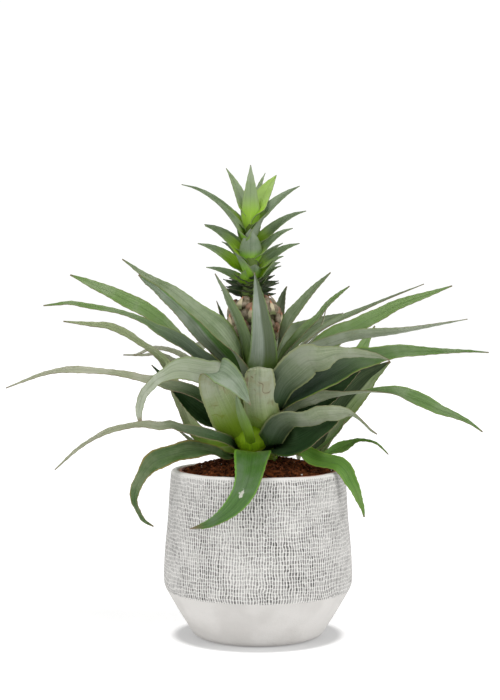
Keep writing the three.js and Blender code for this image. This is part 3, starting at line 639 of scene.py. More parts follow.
# Rosette leaves: azimuth and height of the root on the heart, midrib points, width, roll, skins
LEAVES = {
    "leaf_front_1": dict(
        root=(-83, 202), width=27, taper=2.0, under="two sided",
        via=[(4, -25, 222), (4, -29, 240), (2, -32, 258), (0, -35, 275), (-3, -36, 293)]),
    "leaf_front_2": dict(
        root=(-127, 156), width=30, taper=4.5, side=(0.8, 0, 0.6), under="creased", green=70,
        via=[(-24, -40, 184), (-31, -52, 201), (-33, -60, 211), (-31, -65, 216), (-26, -68, 215),
             (-16, -71, 206), (-6, -73, 191)]),
    "leaf_front_3": dict(
        root=(-48, 156), width=27, taper=8.0, side=(1, 0, 0), under="creased", green=56,
        via=[(3, -36, 181), (1, -44, 199), (1, -50, 211), (1, -52, 218), (0, -47, 219), (-2, -41, 211)]),
    "leaf_front_4": dict(
        root=(-100, 150), under="glaucous", tone=0.88, green=74,
        via=[(-8, -37, 166, 8), (-11, -43, 175, 8.5), (-14, -48, 184, 7), (-16, -51, 192, 4),
             (-17, -53, 198, 0.8)]),
    "leaf_front_5": dict(
        root=(-92, 147), width=33, wave=1.4, cup=(0.2, 0), top="scarred", under="grey",
        via=[(-4, -38, 151), (-5, -56, 146), (-7, -72, 136), (-12, -82, 124), (-22, -87, 112),
             (-36, -88, 103), (-52, -84, 98)]),
    "leaf_left_1": dict(
        root=(-166, 174), roll=(-30, -60, -60, -50), wave=0.9, waves=26, top="cream", green=100,
        via=[(-40, -19, 189.5, 13), (-49, -21, 195.5, 12), (-61, -22, 200.5, 12), (-71, -21, 203, 11),
             (-81, -19, 207, 8.5), (-90, -17, 208, 5.2), (-105, -12, 211, 6.4), (-126, -8, 214, 5.2),
             (-150, -4, 215, 6), (-162, -2, 214, 4.6), (-176, 0, 211, 3.8), (-187, 1, 207, 2.1),
             (-205, 4, 200, 0.8)]),
    "leaf_left_2": dict(
        root=(-154, 191), roll=(-30, -60, -60, -50), wave=0.7, waves=26, top="grey footed", under="grey",
        green=150,
        via=[(-36, -17, 219, 12), (-47, -17, 226.5, 11.5), (-62, -12, 237.5, 13), (-69, -11, 241.5, 13.5),
             (-76, -10, 245.5, 11), (-83, -8, 249, 7.1), (-89, -7, 253, 4.9), (-113, -2, 262, 4.6),
             (-141, 4, 267, 4.6), (-153, 6, 269, 4), (-165, 8, 268, 2.5), (-175, 10, 267, 0.8)]),
    "leaf_left_3": dict(
        root=(158, 205), roll=(-40, -65, -60), wave=0.6, waves=20, top="light",
        via=[(-56, 24, 232, 7), (-64, 26, 239, 8), (-73, 28, 248, 9), (-82, 30, 256, 11),
             (-96, 34, 265, 13), (-109, 38, 271, 12.5), (-123, 42, 278, 10), (-137, 45, 284, 7.5),
             (-148, 48, 289, 4.5), (-158, 50, 293, 0.8)]),
    "leaf_left_4": dict(
        root=(154, 151), roll=(-55, -62, -60, -50), wave=0.8, waves=20, top="lime footed",
        under="lime footed", green=60,
        via=[(-43, 11, 157, 14), (-55, 13, 169, 11), (-60, 14, 180, 9.5), (-67, 17, 196, 8.7),
             (-72, 18, 211, 8.2), (-78, 20, 222, 7.8), (-87, 22, 230, 5.8), (-98, 25, 237, 4.9),
             (-107, 27, 243, 6.3), (-124, 30, 250, 6.3), (-135, 32, 251, 5.1), (-144, 33, 252, 3.9),
             (-162, 35, 254, 0.8)]),
    "leaf_left_5": dict(
        root=(142, 190), roll=(-20, -60), top="cream", green=4,
        via=[(-63, 40, 225, 5.2), (-72, 46, 229, 4.7), (-81, 50, 231, 4.2), (-90, 54, 231, 3.7),
             (-97, 57, 228, 2.7), (-105, 60, 225, 0.9)]),
    "leaf_left_15": dict(
        root=(150, 213), roll=(-20, -60), top="cream", green=4,
        via=[(-50, 46, 215, 5.3), (-70, 54, 220, 4.8), (-78, 58, 224, 4.2), (-87, 62, 226, 3.2),
             (-97, 66, 225, 2.1), (-115, 70, 225, 0.9)]),
    "leaf_left_6": dict(
        root=(-120, 182), roll=(-20, -50, -60, -60, -50), wave=1.0, waves=20, top="silver", green=42,
        via=[(-28, -38, 212, 22), (-38, -44, 212, 23.5), (-48, -49, 214, 23.5), (-57, -52, 216, 21.5),
             (-65, -56, 216, 15.5), (-72, -59, 213, 10), (-78, -62, 210, 8), (-83, -66, 205, 7.4),
             (-88, -69, 199, 6.6), (-90, -72, 193, 6), (-91, -75, 186, 5.2), (-90, -77, 179, 2.4)]),
    "leaf_left_7": dict(
        root=(-130, 205), roll=(-20, -60, -80, -80), wave=0.7, waves=22, top="olive", under="grey",
        tone=1.05, green=4,
        via=[(-17, -25, 225, 26), (-24, -28, 236, 28), (-32, -31, 246, 25), (-41, -34, 255, 20),
             (-50, -35, 263, 15.5), (-59, -36, 271, 12), (-69, -38, 279, 8.5), (-79, -40, 285, 6),
             (-91, -42, 292, 4.4), (-99, -44, 298, 2.5), (-106, -45, 303, 0.7)]),
    "leaf_left_8": dict(
        root=(-175, 208), roll=(-30, -70, -75), wave=0.7, waves=22, top="green streaked", under="grey",
        green=4,
        via=[(-35, -4, 232, 19), (-43, -4, 241, 18), (-50, -3, 250, 16.5), (-58, -5, 259, 14),
             (-66, -3, 267, 12), (-74, -1, 274, 10), (-83, 1, 282, 7.5), (-91, 3, 287, 4.5),
             (-97, 5, 292, 0.7)]),
    "leaf_left_9": dict(
        root=(-112, 211), roll=(0, -10), under="olive",
        via=[(-11, -21.5, 240, 12.5), (-17, -28, 256, 12), (-23, -31, 269, 9), (-27, -33, 279, 5.5),
             (-31, -34, 286, 3.1), (-34, -35, 292, 0.6)]),
    "leaf_left_10": dict(
        root=(124, 213), width=19, top="fresh",
        via=[(-24, 21, 242), (-34, 18, 271)]),
    "leaf_left_11": dict(
        root=(-175, 157), roll=(-30, -70, -75), wave=1.6, top="shaded",
        via=[(-26, -6, 164, 20), (-38, -4, 174, 22), (-50, -4, 184, 18), (-60, -4, 193, 12),
             (-72, -4, 205, 5), (-86, -4, 219, 0.7)]),
    "leaf_left_12": dict(
        root=(-150, 150), roll=(-40, -60, -50, -50), wave=1.0, waves=34, top="cream", green=105,
        via=[(-29, -30, 161, 11), (-40, -34, 165, 10), (-52, -36, 168, 8.5), (-61, -37, 170, 7.8),
             (-69, -37, 173, 8), (-77, -37, 172, 6.5), (-89, -36, 173, 6), (-101, -35, 172, 5.6),
             (-115, -34, 169, 4.6), (-126, -34, 164, 3.7), (-141, -32, 155, 2.8), (-161, -30, 137, 0.7)]),
    "leaf_left_13": dict(
        root=(-165, 145), width=14, roll=(-30, -40), top="pale",
        via=[(-44, 0, 149), (-56, 5, 158), (-67, 9, 167)]),
    "leaf_left_14": dict(
        root=(-156, 143), roll=(-30, -60, -60, -50, -60), wave=2.3, waves=34, top="weathered",
        under="olive", tone=1.12, green=8,
        via=[(-29, -23, 147, 8), (-36, -24, 150, 12), (-45, -26, 152, 14), (-54, -28, 152, 15),
             (-63, -30, 150, 15), (-75, -34, 147, 17), (-83, -36, 143, 15), (-89, -38, 136, 11.2),
             (-93, -39, 130, 9), (-96, -40, 124, 8.3), (-97, -42, 114, 4.6), (-94, -42, 106, 3.8),
             (-90, -43, 99, 3.2), (-82, -44, 94, 0.7)]),
    "leaf_right_1": dict(
        root=(-26, 206), roll=(10, 60, 75), top="olive", under="olive", green=12,
        via=[(18, -15, 232, 14), (21, -18, 243, 15), (26, -22, 256, 14.5), (32, -27, 265, 11.3),
             (39, -29, 274, 9), (46, -31, 282, 5.8), (52, -32, 288, 3), (57, -33, 293, 0.7)]),
    "leaf_right_2": dict(
        root=(7, 210), roll=(20, 60), top="light",
        via=[(22, 4, 229, 9), (33, 6, 242, 8.6), (40, 8, 250, 7.4), (49, 10, 258, 5.6), (57, 12, 268, 5),
             (67, 13, 277, 3.1), (75, 14, 283, 0.7)]),
    "leaf_right_3": dict(
        root=(-38, 194), width=13, roll=(10, 35, 35), top="olive", under="grey",
        via=[(25, -23, 222), (50, -28, 247), (88, -28, 266), (131, -28, 284)]),
    "leaf_right_4": dict(
        root=(30, 201), roll=(30, 60, 60), top="light",
        via=[(43, 24, 224.5, 19), (56, 28, 234, 20), (68, 32, 243, 17), (81, 36, 249, 13),
             (92, 39, 255, 12.5), (103, 43, 260, 11.2), (114, 46, 266, 9.6), (127, 49, 271, 7.8),
             (142, 53, 276, 5.4), (165, 58, 284, 0.8)]),
    "leaf_right_5": dict(
        root=(-6, 178), width=18, taper=1.5, roll=(-30, -55, -40), top="light", under="grey", tone=1.2,
        via=[(26, 0, 216), (43, 3, 230), (60, 5, 237), (77, 7, 242), (116, 11, 246), (150, 14, 252),
             (172, 16, 256)]),
    "leaf_right_6": dict(
        root=(-8, 178), roll=(30, 65, 65, 60), top="dark footed", tone=0.9, green=150,
        via=[(25, -28, 192, 19), (36, -33, 200, 22.5), (48, -38, 208, 24), (62, -40, 216, 25),
             (76, -42, 223.5, 22), (89, -42, 226, 15), (100, -42, 229, 12.5), (112, -42, 231, 10.6),
             (123, -41, 231, 8.6), (137, -40, 231, 6), (151, -38, 231, 3.8), (166, -36, 231, 2),
             (181.4, -34, 230, 0.7)]),
    "leaf_right_7": dict(
        root=(-66, 170), roll=(-20, -60, -62, -60), wave=0.6, under="pale dark footed", tone=1.0,
        green=105,
        via=[(13, -37, 191, 18), (18, -44, 205, 23), (28, -51, 216, 27), (38, -55, 224, 26),
             (47, -58, 225, 23), (54, -61, 228, 15), (61, -63, 230, 10), (68, -65, 230, 8.6),
             (76, -67, 230, 7.8), (84, -68, 229, 6.4), (91, -69, 228, 4.4), (100, -70, 225, 0.7)]),
    "leaf_right_8": dict(
        root=(-30, 160), roll=(-50, -60, 20, 55, 55), wave=0.8, top="fresh", under="pale dark footed",
        green=62,
        via=[(17, -24, 175, 11), (27, -23, 186, 12), (36, -24, 190, 14), (47, -24, 193, 13),
             (59, -23, 195, 11), (68, -23, 196, 8), (77, -22, 197, 8), (87, -21, 198, 9.5),
             (98, -19, 198, 11), (111, -17, 197, 12.5), (123, -15, 193, 14), (136, -13, 188, 11.8),
             (146, -11, 183, 9), (157, -9, 179, 6.2), (170, -7, 173, 3.6), (181.4, -5, 165, 0.8)]),
    "leaf_right_9": dict(
        root=(-66, 152), roll=(-30, -60, -55, -50), wave=1.6, waves=26, top="olive",
        under="pale dark footed", green=80,
        via=[(10, -32, 160, 20), (16, -38, 171, 21), (24, -43, 177, 16), (32, -47, 177, 11),
             (40, -51, 178, 14), (48, -55, 182, 15.5), (57, -59, 183, 15), (64, -63, 184, 10.5),
             (69, -66, 184, 6.4), (75, -69, 181, 6), (81, -72, 176, 5.4), (85, -74, 172, 3.8),
             (90, -76, 169, 0.7)]),
    "leaf_right_10": dict(
        root=(-40, 151), roll=(45, 65, 65), wave=1.5, top="shaded",
        via=[(30, -33, 158, 26), (42, -38, 165, 27), (52, -42, 173, 22), (61, -45, 180, 13),
             (68, -47, 186, 0.8)]),
    "leaf_right_11": dict(
        root=(30, 151), roll=(20, 62, 66, 60), wave=0.8, top="half lit", green=4,
        via=[(47, 26, 143, 12), (52, 29, 152, 14), (56, 32, 162, 18), (61, 35, 172, 23), (68, 38, 182, 27),
             (75, 41, 191, 28), (84, 44, 200, 25), (93, 47, 208, 18), (103, 49, 214, 9),
             (112, 51, 220, 0.7)]),
    "leaf_right_12": dict(
        root=(36, 182), roll=(20, 62, 62), top="light", tone=1.35,
        via=[(62, 48, 186, 6), (74, 54, 200, 7), (80, 57, 213, 9), (85, 59, 224, 10.5), (91, 61, 235, 8.5),
             (97, 63, 245, 2.4), (100, 64, 250, 0.8)]),
    # A filler leaf in painted shade, which closes the shaded gap behind the right-hand leaves
    "leaf_right_13": dict(
        root=(-12, 160), roll=(30, 65, 60), wave=1.2, top="shaded",
        via=[(30, -8, 176, 18), (48, -9, 191, 24), (62, -10, 202, 22), (74, -11, 210, 10),
             (82, -11, 215, 0.8)]),
    "leaf_right_14": dict(
        root=(52, 207), width=33, roll=(25, 60), top="olive", under="grey",
        via=[(24, 35, 237), (47, 42, 250), (72, 48, 261)]),
    "leaf_right_15": dict(
        root=(-14, 200), top="light",
        via=[(24, -9, 222, 5), (40, -9, 235, 5.4), (47, -11, 243, 5.6), (52, -12, 253, 3.8),
             (54, -13, 263, 0.6)]),
    "leaf_right_16": dict(
        root=(64, 214), top="olive",
        via=[(14, 20, 240, 10), (16, 22, 247, 12), (18, 24, 259, 11.5), (20, 26, 270, 8.5),
             (22, 27, 278, 4), (24, 28, 283, 0.7)]),
    "leaf_right_17": dict(
        root=(-46, 146), roll=(20, 55, 55, 50), wave=1.2, waves=24, top="bright", under="olive",
        via=[(20, -22, 148.5, 7), (29, -23, 151.5, 9), (36, -24, 150, 12), (43, -26, 146, 14),
             (50, -29, 144, 12), (57, -31, 143, 12), (64, -33, 141, 13.5), (69, -35, 136, 12.6),
             (72, -37, 130, 10.6), (76, -39, 123, 8), (79, -40, 115, 5.6), (82, -41, 107, 2.6),
             (83, -42, 101, 0.8)]),
    "leaf_right_18": dict(
        root=(2, 146), roll=(10, 60, 60, 50), wave=0.8, top="bright",
        via=[(49, 18, 142, 5), (57, 21, 145, 4.5), (64, 23, 148, 8), (70, 23, 150, 10.5),
             (76, 22, 153, 6.5), (82, 20, 156, 3), (90, 17, 156, 2.6), (97, 14, 154, 2.3),
             (102, 13, 150, 1.7), (107, 12, 145, 0.7)]),
    "leaf_right_19": dict(
        root=(-12, 147), roll=(30, 60), wave=0.3, top="light", green=10,
        via=[(42, -12, 148, 3), (53, -15, 155, 4.2), (60, -17, 162, 3.6), (66, -19, 169, 2.4),
             (69, -20, 175, 0.7)]),
}

# Far-side leaves by one rule: azimuth, root height, reach, rise and droop
BACK_LEAVES = [
    (66, 151, 96, 22, 46),
    (99, 149, 102, 16, 60),
    (133, 151, 84, 40, 10),
    (72, 170, 150, 62, 26),
    (92, 163, 142, 44, 34),
    (114, 172, 156, 60, 30),
    (134, 164, 148, 48, 30),
    (83, 192, 128, 66, 8),
    (103, 186, 134, 66, 6),
    (122, 170, 120, 63, 4),
]


def arched_path(azimuth, height, reach, rise, droop):
    stations = ((0.33, 0.6 * rise), (0.62, rise), (0.85, rise - 0.35 * droop), (1, rise - droop))
    return [outward(azimuth) * share * reach + [STEM_X, 0, height + climb] for share, climb in stations]


def grow_rosette():
    for name, leaf in LEAVES.items():
        yield name, strap_leaf(name + "_blade", **leaf)
    skins = (("fresh", "pale"), ("olive", "grey"), ("deep", "pale"))
    for i, (azimuth, height, reach, rise, droop) in enumerate(BACK_LEAVES):
        name = f"leaf_back_{i + 1}"
        via = arched_path(azimuth, height, reach, rise, droop)
        top, under = skins[i % 3]
        width = 26 - 3 * (i % 3)
        yield name, strap_leaf(name + "_blade", (azimuth, height), via, width, top=top, under=under)


def joined(name, pieces):
    bpy.ops.object.select_all(action="DESELECT")
    for piece in pieces:
        piece.select_set(True)
    bpy.context.view_layer.objects.active = pieces[0]
    if len(pieces) > 1:
        bpy.ops.object.join()
    whole = bpy.context.object
    whole.name = whole.data.name = name
    return whole


def turned_piece(name, profile, skin, sides=ROUND_SIDES):
    """A filled ring extruded and scaled from station to station of a (radius, height) profile."""
    bpy.ops.object.select_all(action="DESELECT")
    radius, height = profile[0]
    bpy.ops.mesh.primitive_circle_add(vertices=sides, radius=radius * MM, fill_type="NGON")
    piece = bpy.context.object
    piece.name = piece.data.name = name
    bpy.ops.object.mode_set(mode="EDIT")
    bpy.ops.mesh.select_all(action="SELECT")
    bpy.ops.transform.translate(value=(0, 0, height * MM))
    for next_radius, next_height in profile[1:]:
        step = (0, 0, (next_height - height) * MM)
        bpy.ops.mesh.extrude_region_move(TRANSFORM_OT_translate={"value": step})
        grow = next_radius / radius
        bpy.ops.transform.resize(value=(grow, grow, 1))
        radius, height = next_radius, next_height
    bpy.ops.mesh.select_all(action="SELECT")
    bpy.ops.mesh.normals_make_consistent(inside=False)
    bpy.ops.object.mode_set(mode="OBJECT")
    piece.data.materials.append(skin)
    bpy.ops.object.shade_smooth_by_angle(angle=math.radians(40))
    return piece


def move_places(piece, move):
    """Moves each point of a mesh by a function of its place in millimetres."""
    spots = np.empty(3 * len(piece.data.vertices))
    piece.data.vertices.foreach_get("co", spots)
    spots = spots.reshape(-1, 3) / MM
    for spot in spots:
        move(spot)
    piece.data.vertices.foreach_set("co", (spots * MM).ravel())
    piece.data.update()


def shifted(piece, distance):
    def move(spot):
        spot[0] += distance

    move_places(piece, move)
    return piece


def rounded(points, count):
    """Even stations along the smooth curve through (radius, height) points."""
    centre = curve_stations([(radius, 0, height) for radius, height in points], count)[0]
    return [(float(radius), float(height)) for radius, _, height in centre]


def settle_rim(spot):
    """Hand-made unevenness that grows towards the cover pot's lip."""
    level = smooth(spot[2], 118, 134)
    slack = noise.noise(Vector((spot[0] * 0.03, spot[1] * 0.03, 4.2)))
    spot[2] -= 0.9 * level * max(0.0, slack + 0.25)
    spot[:2] *= 1 - 0.004 * level * abs(slack)


def build_pot():
    outside = [(POT_FOOT_RADIUS, 0), (52.5, 2.3), (57.5, 10), (63.2, 19), (68.8, 28.6), (73.6, 37),
               (POT_WIDEST_RADIUS - 0.6, 42), (POT_WIDEST_RADIUS - 0.1, 48), (POT_WIDEST_RADIUS - 0.4, 60),
               (75.1, 75), (73.2, 95), (72, 115), (POT_RIM_RADIUS + 0.4, 130)]
    lip = [(POT_RIM_RADIUS + 0.4, 130), (POT_RIM_RADIUS + 0.1, 133), (POT_RIM_RADIUS - 0.9, 134.5),
           (POT_RIM_RADIUS - 2.2, POT_HEIGHT - 0.1), (66.8, POT_HEIGHT - 0.1), (65.4, 134.5), (64.6, 133),
           (64.3, 130), (64.3, 127)]
    inside = [(64.3, 127), (67.5, 95), (69, 60), (67.5, 40), (56, 20), (48, POT_FLOOR)]
    profile = rounded(outside, 46)[:-1] + rounded(lip, 20)[:-1] + rounded(inside, 20)
    pot = turned_piece("cover_pot", profile, stoneware_finish())
    move_places(pot, settle_rim)
    return pot


def build_grow_pot():
    outside = [(44, 8.5), (45, 9), (61.1, 123.6), (61.4, 126), (62.8, 126.7), (63.3, 127.4), (63.5, 133.6)]
    inside = [(63.2, 134.2), (62.4, 134.2), (62.1, 133.6), (61.9, 127.6), (60.3, 126.6), (60, 124),
              (43.9, 10.2)]
    return turned_piece("nursery_pot", outside + inside, nursery_finish())


def soil_top(radius):
    return SOIL_EDGE_Z + SOIL_MOUND * (1 - (radius / SOIL_REACH) ** 2)


def roughen_soil(spot):
    """Lumps on the top of the soil, and its hole moved over to the stem."""
    if spot[2] > SOIL_EDGE_Z - 3.4:
        place = Vector((spot[0], spot[1], 0))
        for height, pitch in ((2.4, 0.10), (1.8, 0.31), (1, 0.8)):
            spot[2] += height * noise.noise(place * pitch)
    spot[0] += STEM_X * float(np.clip((30 - math.hypot(spot[0], spot[1])) / 8, 0, 1))


def build_soil():
    rings = [(43, 10.2), (45, 24), (59.2, 124), (60.4, 127.8), (61.2, 128.4)]
    rings += [(radius, soil_top(radius)) for radius in np.linspace(SOIL_REACH, 15, 32)]
    rings.append((14, 112))
    skin = soil_finish("peaty potting mix", (0.022, 0.006, 0.002), (0.185, 0.052, 0.013), 210)
    bed = turned_piece("potting_mix", rings, skin)
    move_places(bed, roughen_soil)
    return bed


def crumb(name, skin):
    bpy.ops.object.select_all(action="DESELECT")
    bpy.ops.mesh.primitive_ico_sphere_add(subdivisions=1, radius=1)
    grit = bpy.context.object
    grit.name = grit.data.name = name
    grit.data.materials.append(skin)
    return grit


def scattered(name, seed_piece, count, low, high, reach, sink, slender):
    """Copies of one small piece strewn over the soil, each turned and squashed its own way."""
    heap = []
    for _ in range(count):
        copy = seed_piece.copy()
        copy.data = seed_piece.data.copy()
        bpy.context.collection.objects.link(copy)
        radius = math.sqrt(random.uniform(0.12, 1)) * reach
        turn = random.uniform(-math.pi, math.pi)
        size = random.uniform(low, high)
        spot = Vector((radius * math.cos(turn), radius * math.sin(turn), soil_top(radius) + size * sink))
        twist = Matrix.Rotation(random.uniform(0, 6.3), 4, "Z")
        tilt = Matrix.Rotation(random.uniform(-0.5, 0.5), 4, "Y")
        spin = Matrix.Rotation(random.uniform(0, 6.3), 4, "X")
        squash = Matrix.Diagonal((size * slender, size * random.uniform(0.5, 0.9),
                                  size * random.uniform(0.4, 0.8), 1))
        copy.matrix_world = Matrix.Translation(spot * MM) @ twist @ tilt @ spin @ squash
        for vertex in copy.data.vertices:
            vertex.co *= random.uniform(0.72, 1.1) * MM
        heap.append(copy)
    bpy.data.objects.remove(seed_piece)
    whole = joined(name, heap)
    bpy.ops.object.transform_apply(location=True, rotation=True, scale=True)
    return whole


# What lies on the soil: name, low and high colour, count, smallest and largest half size,
# how far it stands out of the soil, slenderness
LITTER = (
    ("peat_crumbs", (0.018, 0.005, 0.002), (0.110, 0.030, 0.010), 560, 0.8, 2.4, 0.25, 1),
    ("bark_crumbs", (0.090, 0.024, 0.008), (0.280, 0.085, 0.030), 170, 0.8, 2.0, 0.45, 1.2),
    ("perlite_grains", (0.45, 0.42, 0.38), (0.72, 0.70, 0.66), 34, 0.5, 1.1, 0.9, 1),
    ("coir_fibres", (0.070, 0.026, 0.012), (0.200, 0.085, 0.040), 90, 0.35, 0.5, 2.6, 10),
)
LITTER_REACH = 59.5


def build_litter():
    for name, low, high, count, small, large, sink, slender in LITTER:
        skin = soil_finish(name.replace("_", " "), low, high, 500)
        seed_piece = crumb(name + "_seed", skin)
        yield scattered(name, seed_piece, count, small, large, LITTER_REACH, sink, slender)


def wrapped_base(name, columns, rows, wrap, tone, foot):
    """A leaf base round the heart: wrap gives radius, angle and height from (across, share)."""
    t = np.linspace(0, 1, rows + 1)

    def shape(across, row):
        out, angle, height = wrap(across, t[row])
        return np.stack([STEM_X + out * np.cos(angle), out * np.sin(angle), height], axis=1)

    piece = blade_piece(name, columns, rows, SHEATH_THICKNESS, (SKINS["sheath"],) * 3, shape)
    mark_leaf(piece, tone, foot)
    return piece


def sheath(name, azimuth, low, high, radius, spread):
    """A broad leaf base wrapped round the heart, ending in a blunt point."""
    def wrap(across, share):
        height = low + (high - low) * share
        angle = math.radians(azimuth) + np.radians(spread) * across * (1 - share ** 3) ** 0.6
        out = np.interp(height, [108, 160, 172, 192, 212, 223], [18, 18, 17.5, 15.5, 11.5, 7]) - 3 + radius
        return out + 1.2 * smooth(share, 0.5, 1), angle, height

    return wrapped_base(name, 10, 18, wrap, random.uniform(0.85, 1.15), 0.5)


def bulging_base():
    """The lowest front leaf base: it swells over the drooping front leaf, chin-shaped below."""
    def wrap(across, share):
        height = 149.5 + 23 * share + (7 * across ** 2 + 1.5 * across) * (1 - share)
        out = np.interp(share, [0, 0.12, 0.35, 0.7, 1], [20.5, 24, 26, 24.5, 20.5]) - 2.5 * across ** 2
        return out, math.radians(-97) + np.radians(44) * across * (1 - 0.35 * share), height

    return wrapped_base("bulging_leaf_base", 12, 14, wrap, 1.15, 0.15)


def build_heart():
    outline = [(13.5, 108.5), (15, 111), (15, 160), (14.8, 172), (12.8, 192), (8.6, 212), (5.6, 223),
               (5.2, 234)]
    core = shifted(turned_piece("heart_core", rounded(outline, 24), SKINS["sheath"], 32), STEM_X)
    mark_leaf(core, 0.8, 0.5)
    pieces = [core, bulging_base()]
    for tier, (low, high, count) in enumerate(((109, 146, 5), (122, 163, 5), (136, 182, 5), (158, 203, 4))):
        for i in range(count):
            azimuth = -90 + 360 * i / count + 33 * tier
            radius = 0.6 * (i % 2) + 0.4
            pieces.append(sheath(f"leaf_base_{tier}_{i}", azimuth, low, high, radius, 205 / count))
    return joined("heart_of_leaf_bases", pieces)


def barrel(climb):
    """Radius of the fruit's core, from -1 at its foot to 1 at its top."""
    return (FRUIT_RADIUS - EYE_RISE) * (1 - abs(climb) ** 2.6) ** 0.55


def fruit_height(climb):
    return 0.5 * (FRUIT_FOOT_Z + FRUIT_TOP_Z + (FRUIT_TOP_Z - FRUIT_FOOT_Z) * climb)


def eye_placing(climb, azimuth):
    """The place and tilt of one eye on the core: sideways, upwards along the skin, and outwards."""
    out = Vector(outward(azimuth))
    slope = (barrel(climb + 0.02) - barrel(climb - 0.02)) / (0.02 * (FRUIT_TOP_Z - FRUIT_FOOT_Z))
    normal = Vector((out.x, out.y, -slope)).normalized()
    side = Vector((-out.y, out.x, 0))
    spot = out * barrel(climb) + Vector((FRUIT_X, 0, fruit_height(climb)))
    return Matrix.Translation(spot * MM) @ Matrix((side, normal.cross(side), normal)).transposed().to_4x4()


def fruit_lobe(placing, angle, spread, skin):
    shift = Vector((3.8 * math.cos(angle), 3.5 * math.sin(angle) - 0.2, 0.2)) * spread
    size = Vector(LOBE_HALF_SIZE) * spread * random.uniform(0.93, 1.07)
    bpy.ops.mesh.primitive_ico_sphere_add(subdivisions=2, radius=1)
    ball = bpy.context.object
    ball.matrix_world = placing @ Matrix.Translation(shift * MM) @ Matrix.Diagonal((*(size * MM), 1))
    ball.data.materials.append(skin)
    return ball


def fruit_bract(name, placing, spread, skin):
    def shape(across, row):
        share = row / BRACT_ROWS
        half_width = BRACT_HALF_WIDTH * spread * (1 - share ** 1.5) + 0.15
        lift = 0.6 + 3.0 * np.sin(math.pi * 0.62 * share) - 1.1 * across ** 2 * (1 - share)
        local = np.stack([across * half_width, BRACT_FOOT + BRACT_LENGTH * share, lift], axis=1)
        return local @ np.array(placing.to_3x3()).T + np.array(placing.translation) / MM

    return blade_piece(name, 4, BRACT_ROWS, BRACT_THICKNESS, (skin,) * 3, shape)


def build_fruit():
    """Barrel of fused berries: each eye a three-lobed low dome under a pointed bract."""
    flesh = fruit_finish("fruit flesh between the eyes", (0.050, 0.045, 0.014), (0.105, 0.085, 0.030))
    outline = [(barrel(climb), fruit_height(climb)) for climb in np.linspace(-0.97, 0.97, 25)]
    pieces = [shifted(turned_piece("fruit_core", outline, flesh, 48), FRUIT_X)]
    eye_skin = fruit_finish("fruit eyes", (0.125, 0.105, 0.055), (0.31, 0.25, 0.175))
    blush_skin = fruit_finish("fruit eye blush", (0.19, 0.11, 0.06), (0.34, 0.19, 0.12))
    bract_skin = bract_finish()
    for i in range(FRUIT_EYES):
        climb = -0.86 + 1.72 * (i + 0.5) / FRUIT_EYES
        placing = eye_placing(climb, i * SPIRAL_TURN)
        spread = 0.86 if abs(climb) > 0.6 else 1.0
        for lobe in range(3):
            skin = blush_skin if lobe == 0 and i % 2 else eye_skin
            pieces.append(fruit_lobe(placing, math.radians(90 + 120 * lobe), spread, skin))
        pieces.append(fruit_bract(f"bract_{i}", placing, spread, bract_skin))
    whole = joined("young_fruit", pieces)
    bpy.ops.object.transform_apply(location=True, rotation=True, scale=True)
    bpy.ops.object.shade_smooth_by_angle(angle=math.radians(60))
    return whole


# Crown leaves that show: azimuth, root height, reach, tip height, width, bow
CROWN_LEAVES = [
    (-90, 330, 6, 380, 17, 0.1),
    (150, 338, 23, 379, 12, 0.2),
    (60, 343, 24, 376, 7, 0.2),
    (18, 338, 22, 373, 17, 0.15),
    (178, 326, 56, 365, 9, 0.5),
    (-150, 316, 38, 353, 18, 0.35),
    (-10, 330, 40, 363, 15, 0.3),
    (-50, 317, 21, 341, 18, 0.3),
    (-90, 304, 14, 328.5, 20, 0.25),
    (0, 314, 45, 343.5, 13, 0.45),
    (-15, 304, 35, 329, 14, 0.45),
    (-10, 294, 40, 317, 14, 0.45),
    (20, 300, 28, 318, 7, 0.3),
    (172, 308, 38, 333, 13, 0.45),
    (-165, 302, 38, 331, 17, 0.45),
    (160, 301, 25, 319, 8, 0.4),
    (-172, 292, 43, 317, 16, 0.45),
    (-125, 288, 22, 309.5, 20, 0.2),
    (-75, 286, 14, 300, 24, 0.1),
    (180, 286, 36, 298, 10, 0.5),
    (-25, 285, 29, 306.5, 15, 0.5),
    (-8, 282, 25, 299, 8, 0.5),
]

# Crown leaves with a long bright foot, and the share of the leaf that it takes
LIMY_FEET = {0: 0.62, 3: 0.62, 14: 0.78, 16: 0.78, 17: 0.85, 18: 0.85, 20: 0.85}
# Crown leaves that stay broad to near the tip
BLUNT_LEAVES = (3, 7, 8, 17, 18)


def crown_core_radius(height):
    return float(np.interp(height, [FRUIT_TOP_Z, CROWN_TOP_Z], [8.6, 3.2]))


